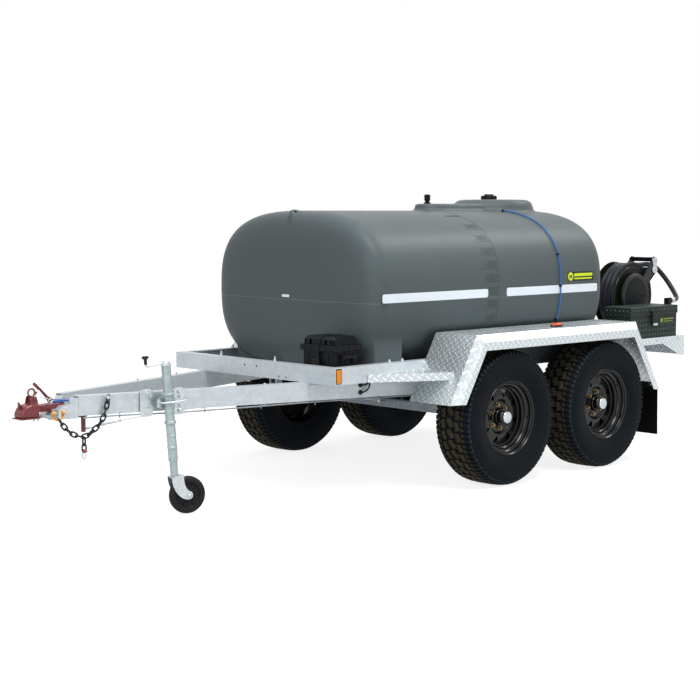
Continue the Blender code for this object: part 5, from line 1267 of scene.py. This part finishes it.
# Tail lamps: bezel and coloured sections
for sgn, tag in SIDES:
    y = sgn * 0.58
    z0, z1 = 0.627, 0.722
    m.box((2.4378, y - 0.112, z0 - 0.002), (2.458, y + 0.112, z1 + 0.002))
    m.done("lamp_base_" + tag, knob_black, "trailer", ["tail_lamp_" + tag], bevel=0.004, segments=3)
    for k, (look, name) in enumerate(((red_lens, "stop"), (amber_lens, "turn"), (clear_lens, "reverse"))):
        m.box((2.457, y + sgn * (0.105 - 0.07 * k), z0 + 0.004), (2.4725, y + sgn * (0.037 - 0.07 * k),
                z1 - 0.004))
        m.done("lens_%s_%s" % (name, tag), look, bevel=0.004, segments=3, slot="red_lens")
for y in (-0.3, 0.3, 0.0):
    m.box((2.4368, y - 0.045, 0.69), (2.4392, y + 0.045, 0.708))
m.done("rear_reflectors", red_lens, bevel=0.0008)
m.box((2.4368, -0.19, 0.61), (2.4385, 0.19, 0.684))
m.done("blank_plate_holder", silver_label, bevel=0.0008)
for sgn in (-1, 1):
    for x in (1.8, 2.1, 2.36):
        a = V(x, sgn * 0.7195, 0.722)
        m.rod(a, a + V(0, sgn * 0.0045, 0), 0.0075, sides=20, soft=0.001)
m.done("platform_rivets", bright)

# Pump box trims
LATCH_X = 2.068
m.box((LATCH_X - 0.0345, -0.7354, 0.8452), (LATCH_X + 0.0345, -0.7255, 0.9385))
m.done("latch_plate", latch_black, "lid_latch", ["pump_box_latch"], bevel=0.003, segments=3)
m.rod((LATCH_X + 0.01, -0.7348, 0.868), (LATCH_X + 0.01, -0.7375, 0.868), 0.0075, sides=24, soft=0.001)
m.box((LATCH_X + 0.0085, -0.7382, 0.8635), (LATCH_X + 0.0115, -0.737, 0.8725))
m.done("latch_lock", knob_black, "lid_latch")
m.box((LATCH_X - 0.022, -0.735, 0.827), (LATCH_X + 0.026, -0.714, 0.8446))
m.done("latch_keeper", bright, bevel=0.003, segments=3)
m.box((2.142, -0.7168, 0.838), (2.309, -0.7149, 0.878))
m.done("box_label_ground", label_black, bevel=0.0006)
for x0, x1, z0, z1 in ((2.149, 2.176, 0.8445, 0.8715), (2.186, 2.3, 0.862, 0.8695),
        (2.186, 2.294, 0.847, 0.8515)):
    m.box((x0, -0.7176, z0), (x1, -0.7166, z1))
m.done("box_label_shapes", box_yellow, bevel=0.0003)

# Reel: cover with dark discs painted as the shade in its two holes, flange rims and bolts, roller plates and
# arm ribs
cover = move((REEL.x, -0.4804, REEL.z)) @ STAND
m.lathe(mm(0, 0, 125, 0, 128, -0.6, 154, -10, 159, -12.8, 160.5, -15, 160.5, -16.5, 0, -16.5), cover, 72)
m.done("spring_cover", cover_black)
# The two holes are not cut: dark discs paint the shade inside them.
for px, pz in ((-0.0225, 0.0027), (0.0694, -0.001)):
    m.lathe(mm(0, 0.6, 8.8, 0.6, 9.4, -0.4, 0, -0.4), cover @ move((px, pz, 0)), 20)
m.done("cover_hole_shade", flap_rubber)
for y, way in ((REEL_Y[0], 1), (REEL_Y[1], -1)):
    f = move((REEL.x, y, REEL.z)) @ Matrix.Rotation(way * pi / 2, 4, "X")
    # The rolled rim, look 1, is painted lighter grey as its highlight.
    m.lathe(mm(221.5, 0.2, 226, 3, 233, 3.6, 236.8, 0.8, 235, -2, 231, -1.5), f, 96, closed=True, look=1)
    m.lathe(mm(198, -0.4, 200, 2.2, 203, 2.2, 205, -0.4), f, 96, closed=True)
    for x, z in circle(12, 0.184, 0.184, first=0.5):
        m.rod(f @ V(x, z, -0.0005), f @ V(x, z, 0.004), 0.0052, sides=6, soft=0.0008)
m.done("flange_rims_and_bolts", [satin_black, rim_grey], "hose_drum")
dog = mm(2405, 1263, 2414, 1273, 2436, 1276.5, 2457, 1271, 2465, 1258, 2463, 1242, 2456, 1231, 2456, 1212,
        2463, 1200, 2465, 1184, 2457, 1170, 2438, 1165, 2416, 1169, 2406, 1182, 2407, 1198, 2414, 1211,
        2414, 1232, 2406, 1246)
# The far plate is drawn satin black as painted shade; the near one is bright zinc.
for y, look, name in ((-0.4675, bright, "near"), (-0.2695, satin_black, "far")):
    m.upright(dog, y - 0.0022, y + 0.0022)
    way = -1 if name == "near" else 1
    for z in (1.193, 1.257):
        m.rod((2.44, y, z), (2.44, y + way * 0.0075, z), 0.0068, sides=6, soft=0.0008)
    m.done("roller_plate_" + name, look, bevel=0.0008)
for y in (-0.4665, -0.4575, -0.2795, -0.2705):
    m.tube([(2.262, y, 1.098), (2.33, y, 1.172), (2.398, y, 1.2475)], 0.003, 8)
    m.tube([(2.3, y, 1.046), (2.37, y, 1.106), (2.444, y, 1.169)], 0.003, 8)
m.done("guide_frame", rim_grey)

# Brake backing plates
for sgn in (-1, 1):
    for x in (FRONT_X, REAR_X):
        back = hub_frame(x, sgn)
        m.lathe(mm(50, -36, 156, -36, 160, -32, 163, -32, 163, -41, 60, -46, 50, -46), back, 64, closed=True)
m.done("brake_backing_plates", flap_rubber, slot="black_steel")

# Floor, light and background
FLOOR_LOW, FLOOR_HIGH, FLOOR_Z = -40, 60, -0.001
corners = [(FLOOR_LOW, FLOOR_LOW), (FLOOR_HIGH, FLOOR_LOW), (FLOOR_HIGH, FLOOR_HIGH), (FLOOR_LOW, FLOOR_HIGH)]
floor_mesh = bpy.data.meshes.new("floor")
floor_mesh.from_pydata([(x, y, FLOOR_Z) for x, y in corners], [], [(0, 1, 2, 3)])
floor = bpy.data.objects.new("floor", floor_mesh)
bpy.context.scene.collection.objects.link(floor)
k = Look("floor", 0.9, level=0.1)
k.p["Base Color"].default_value = (0.26, 0.26, 0.255, 1)
plain = k.node("BsdfDiffuse", 0, {"Color": (0.3, 0.3, 0.3, 1)})
glow = k.node("Emission", 0, {"Color": (1, 1, 1, 1), "Strength": 0.83})
lit = Value(k, k.t.nodes["Principled BSDF"].outputs[0])
k.put(k.t.nodes["Material Output"].inputs["Surface"], k.seen(lit,
        k.node("AddShader", 0, {0: plain, 1: glow})))
floor_mesh.materials.append(k.m)

world = bpy.data.worlds.new("studio")
world.use_nodes = True
bpy.context.scene.world = world
w = Net(world.node_tree)
w.t.nodes.clear()
height = w.split(w.node("TexCoord", "Generated"))[2]
strength = w.node("MapRange", "Result", {"Value": height, "From Min": 0.0, "From Max": 1.0, "To Min": 0.32,
        "To Max": 1.05})
sky = w.node("Background", 0, {"Color": (0.93, 0.96, 1.0, 1), "Strength": strength})
white = w.node("Background", 0, {"Color": (1, 1, 1, 1), "Strength": 1.0})
w.put(w.t.nodes.new("ShaderNodeOutputWorld").inputs["Surface"], w.seen(sky, white))


def lamp(name, at, towards, size, power, colour):
    data = bpy.data.lights.new(name, "AREA")
    data.shape = "DISK"
    data.size = size
    data.energy = power
    data.color = colour
    ob = bpy.data.objects.new(name, data)
    bpy.context.scene.collection.objects.link(ob)
    way = Vector(towards) - Vector(at)
    ob.matrix_world = move(at) @ way.to_track_quat("-Z", "Y").to_matrix().to_4x4()


lamp("key", (-1.5, -3.5, 7.5), (0.2, 0, 0.9), 4.0, 560, (1.0, 0.99, 0.96))
lamp("rear", (7.5, -2.2, 8.0), (0.6, -0.4, 0.9), 3.5, 330, (1.0, 1.0, 1.0))
lamp("fill", (-7.0, -3.0, 3.0), (0, 0, 0.9), 5.0, 150, (0.94, 0.97, 1.0))
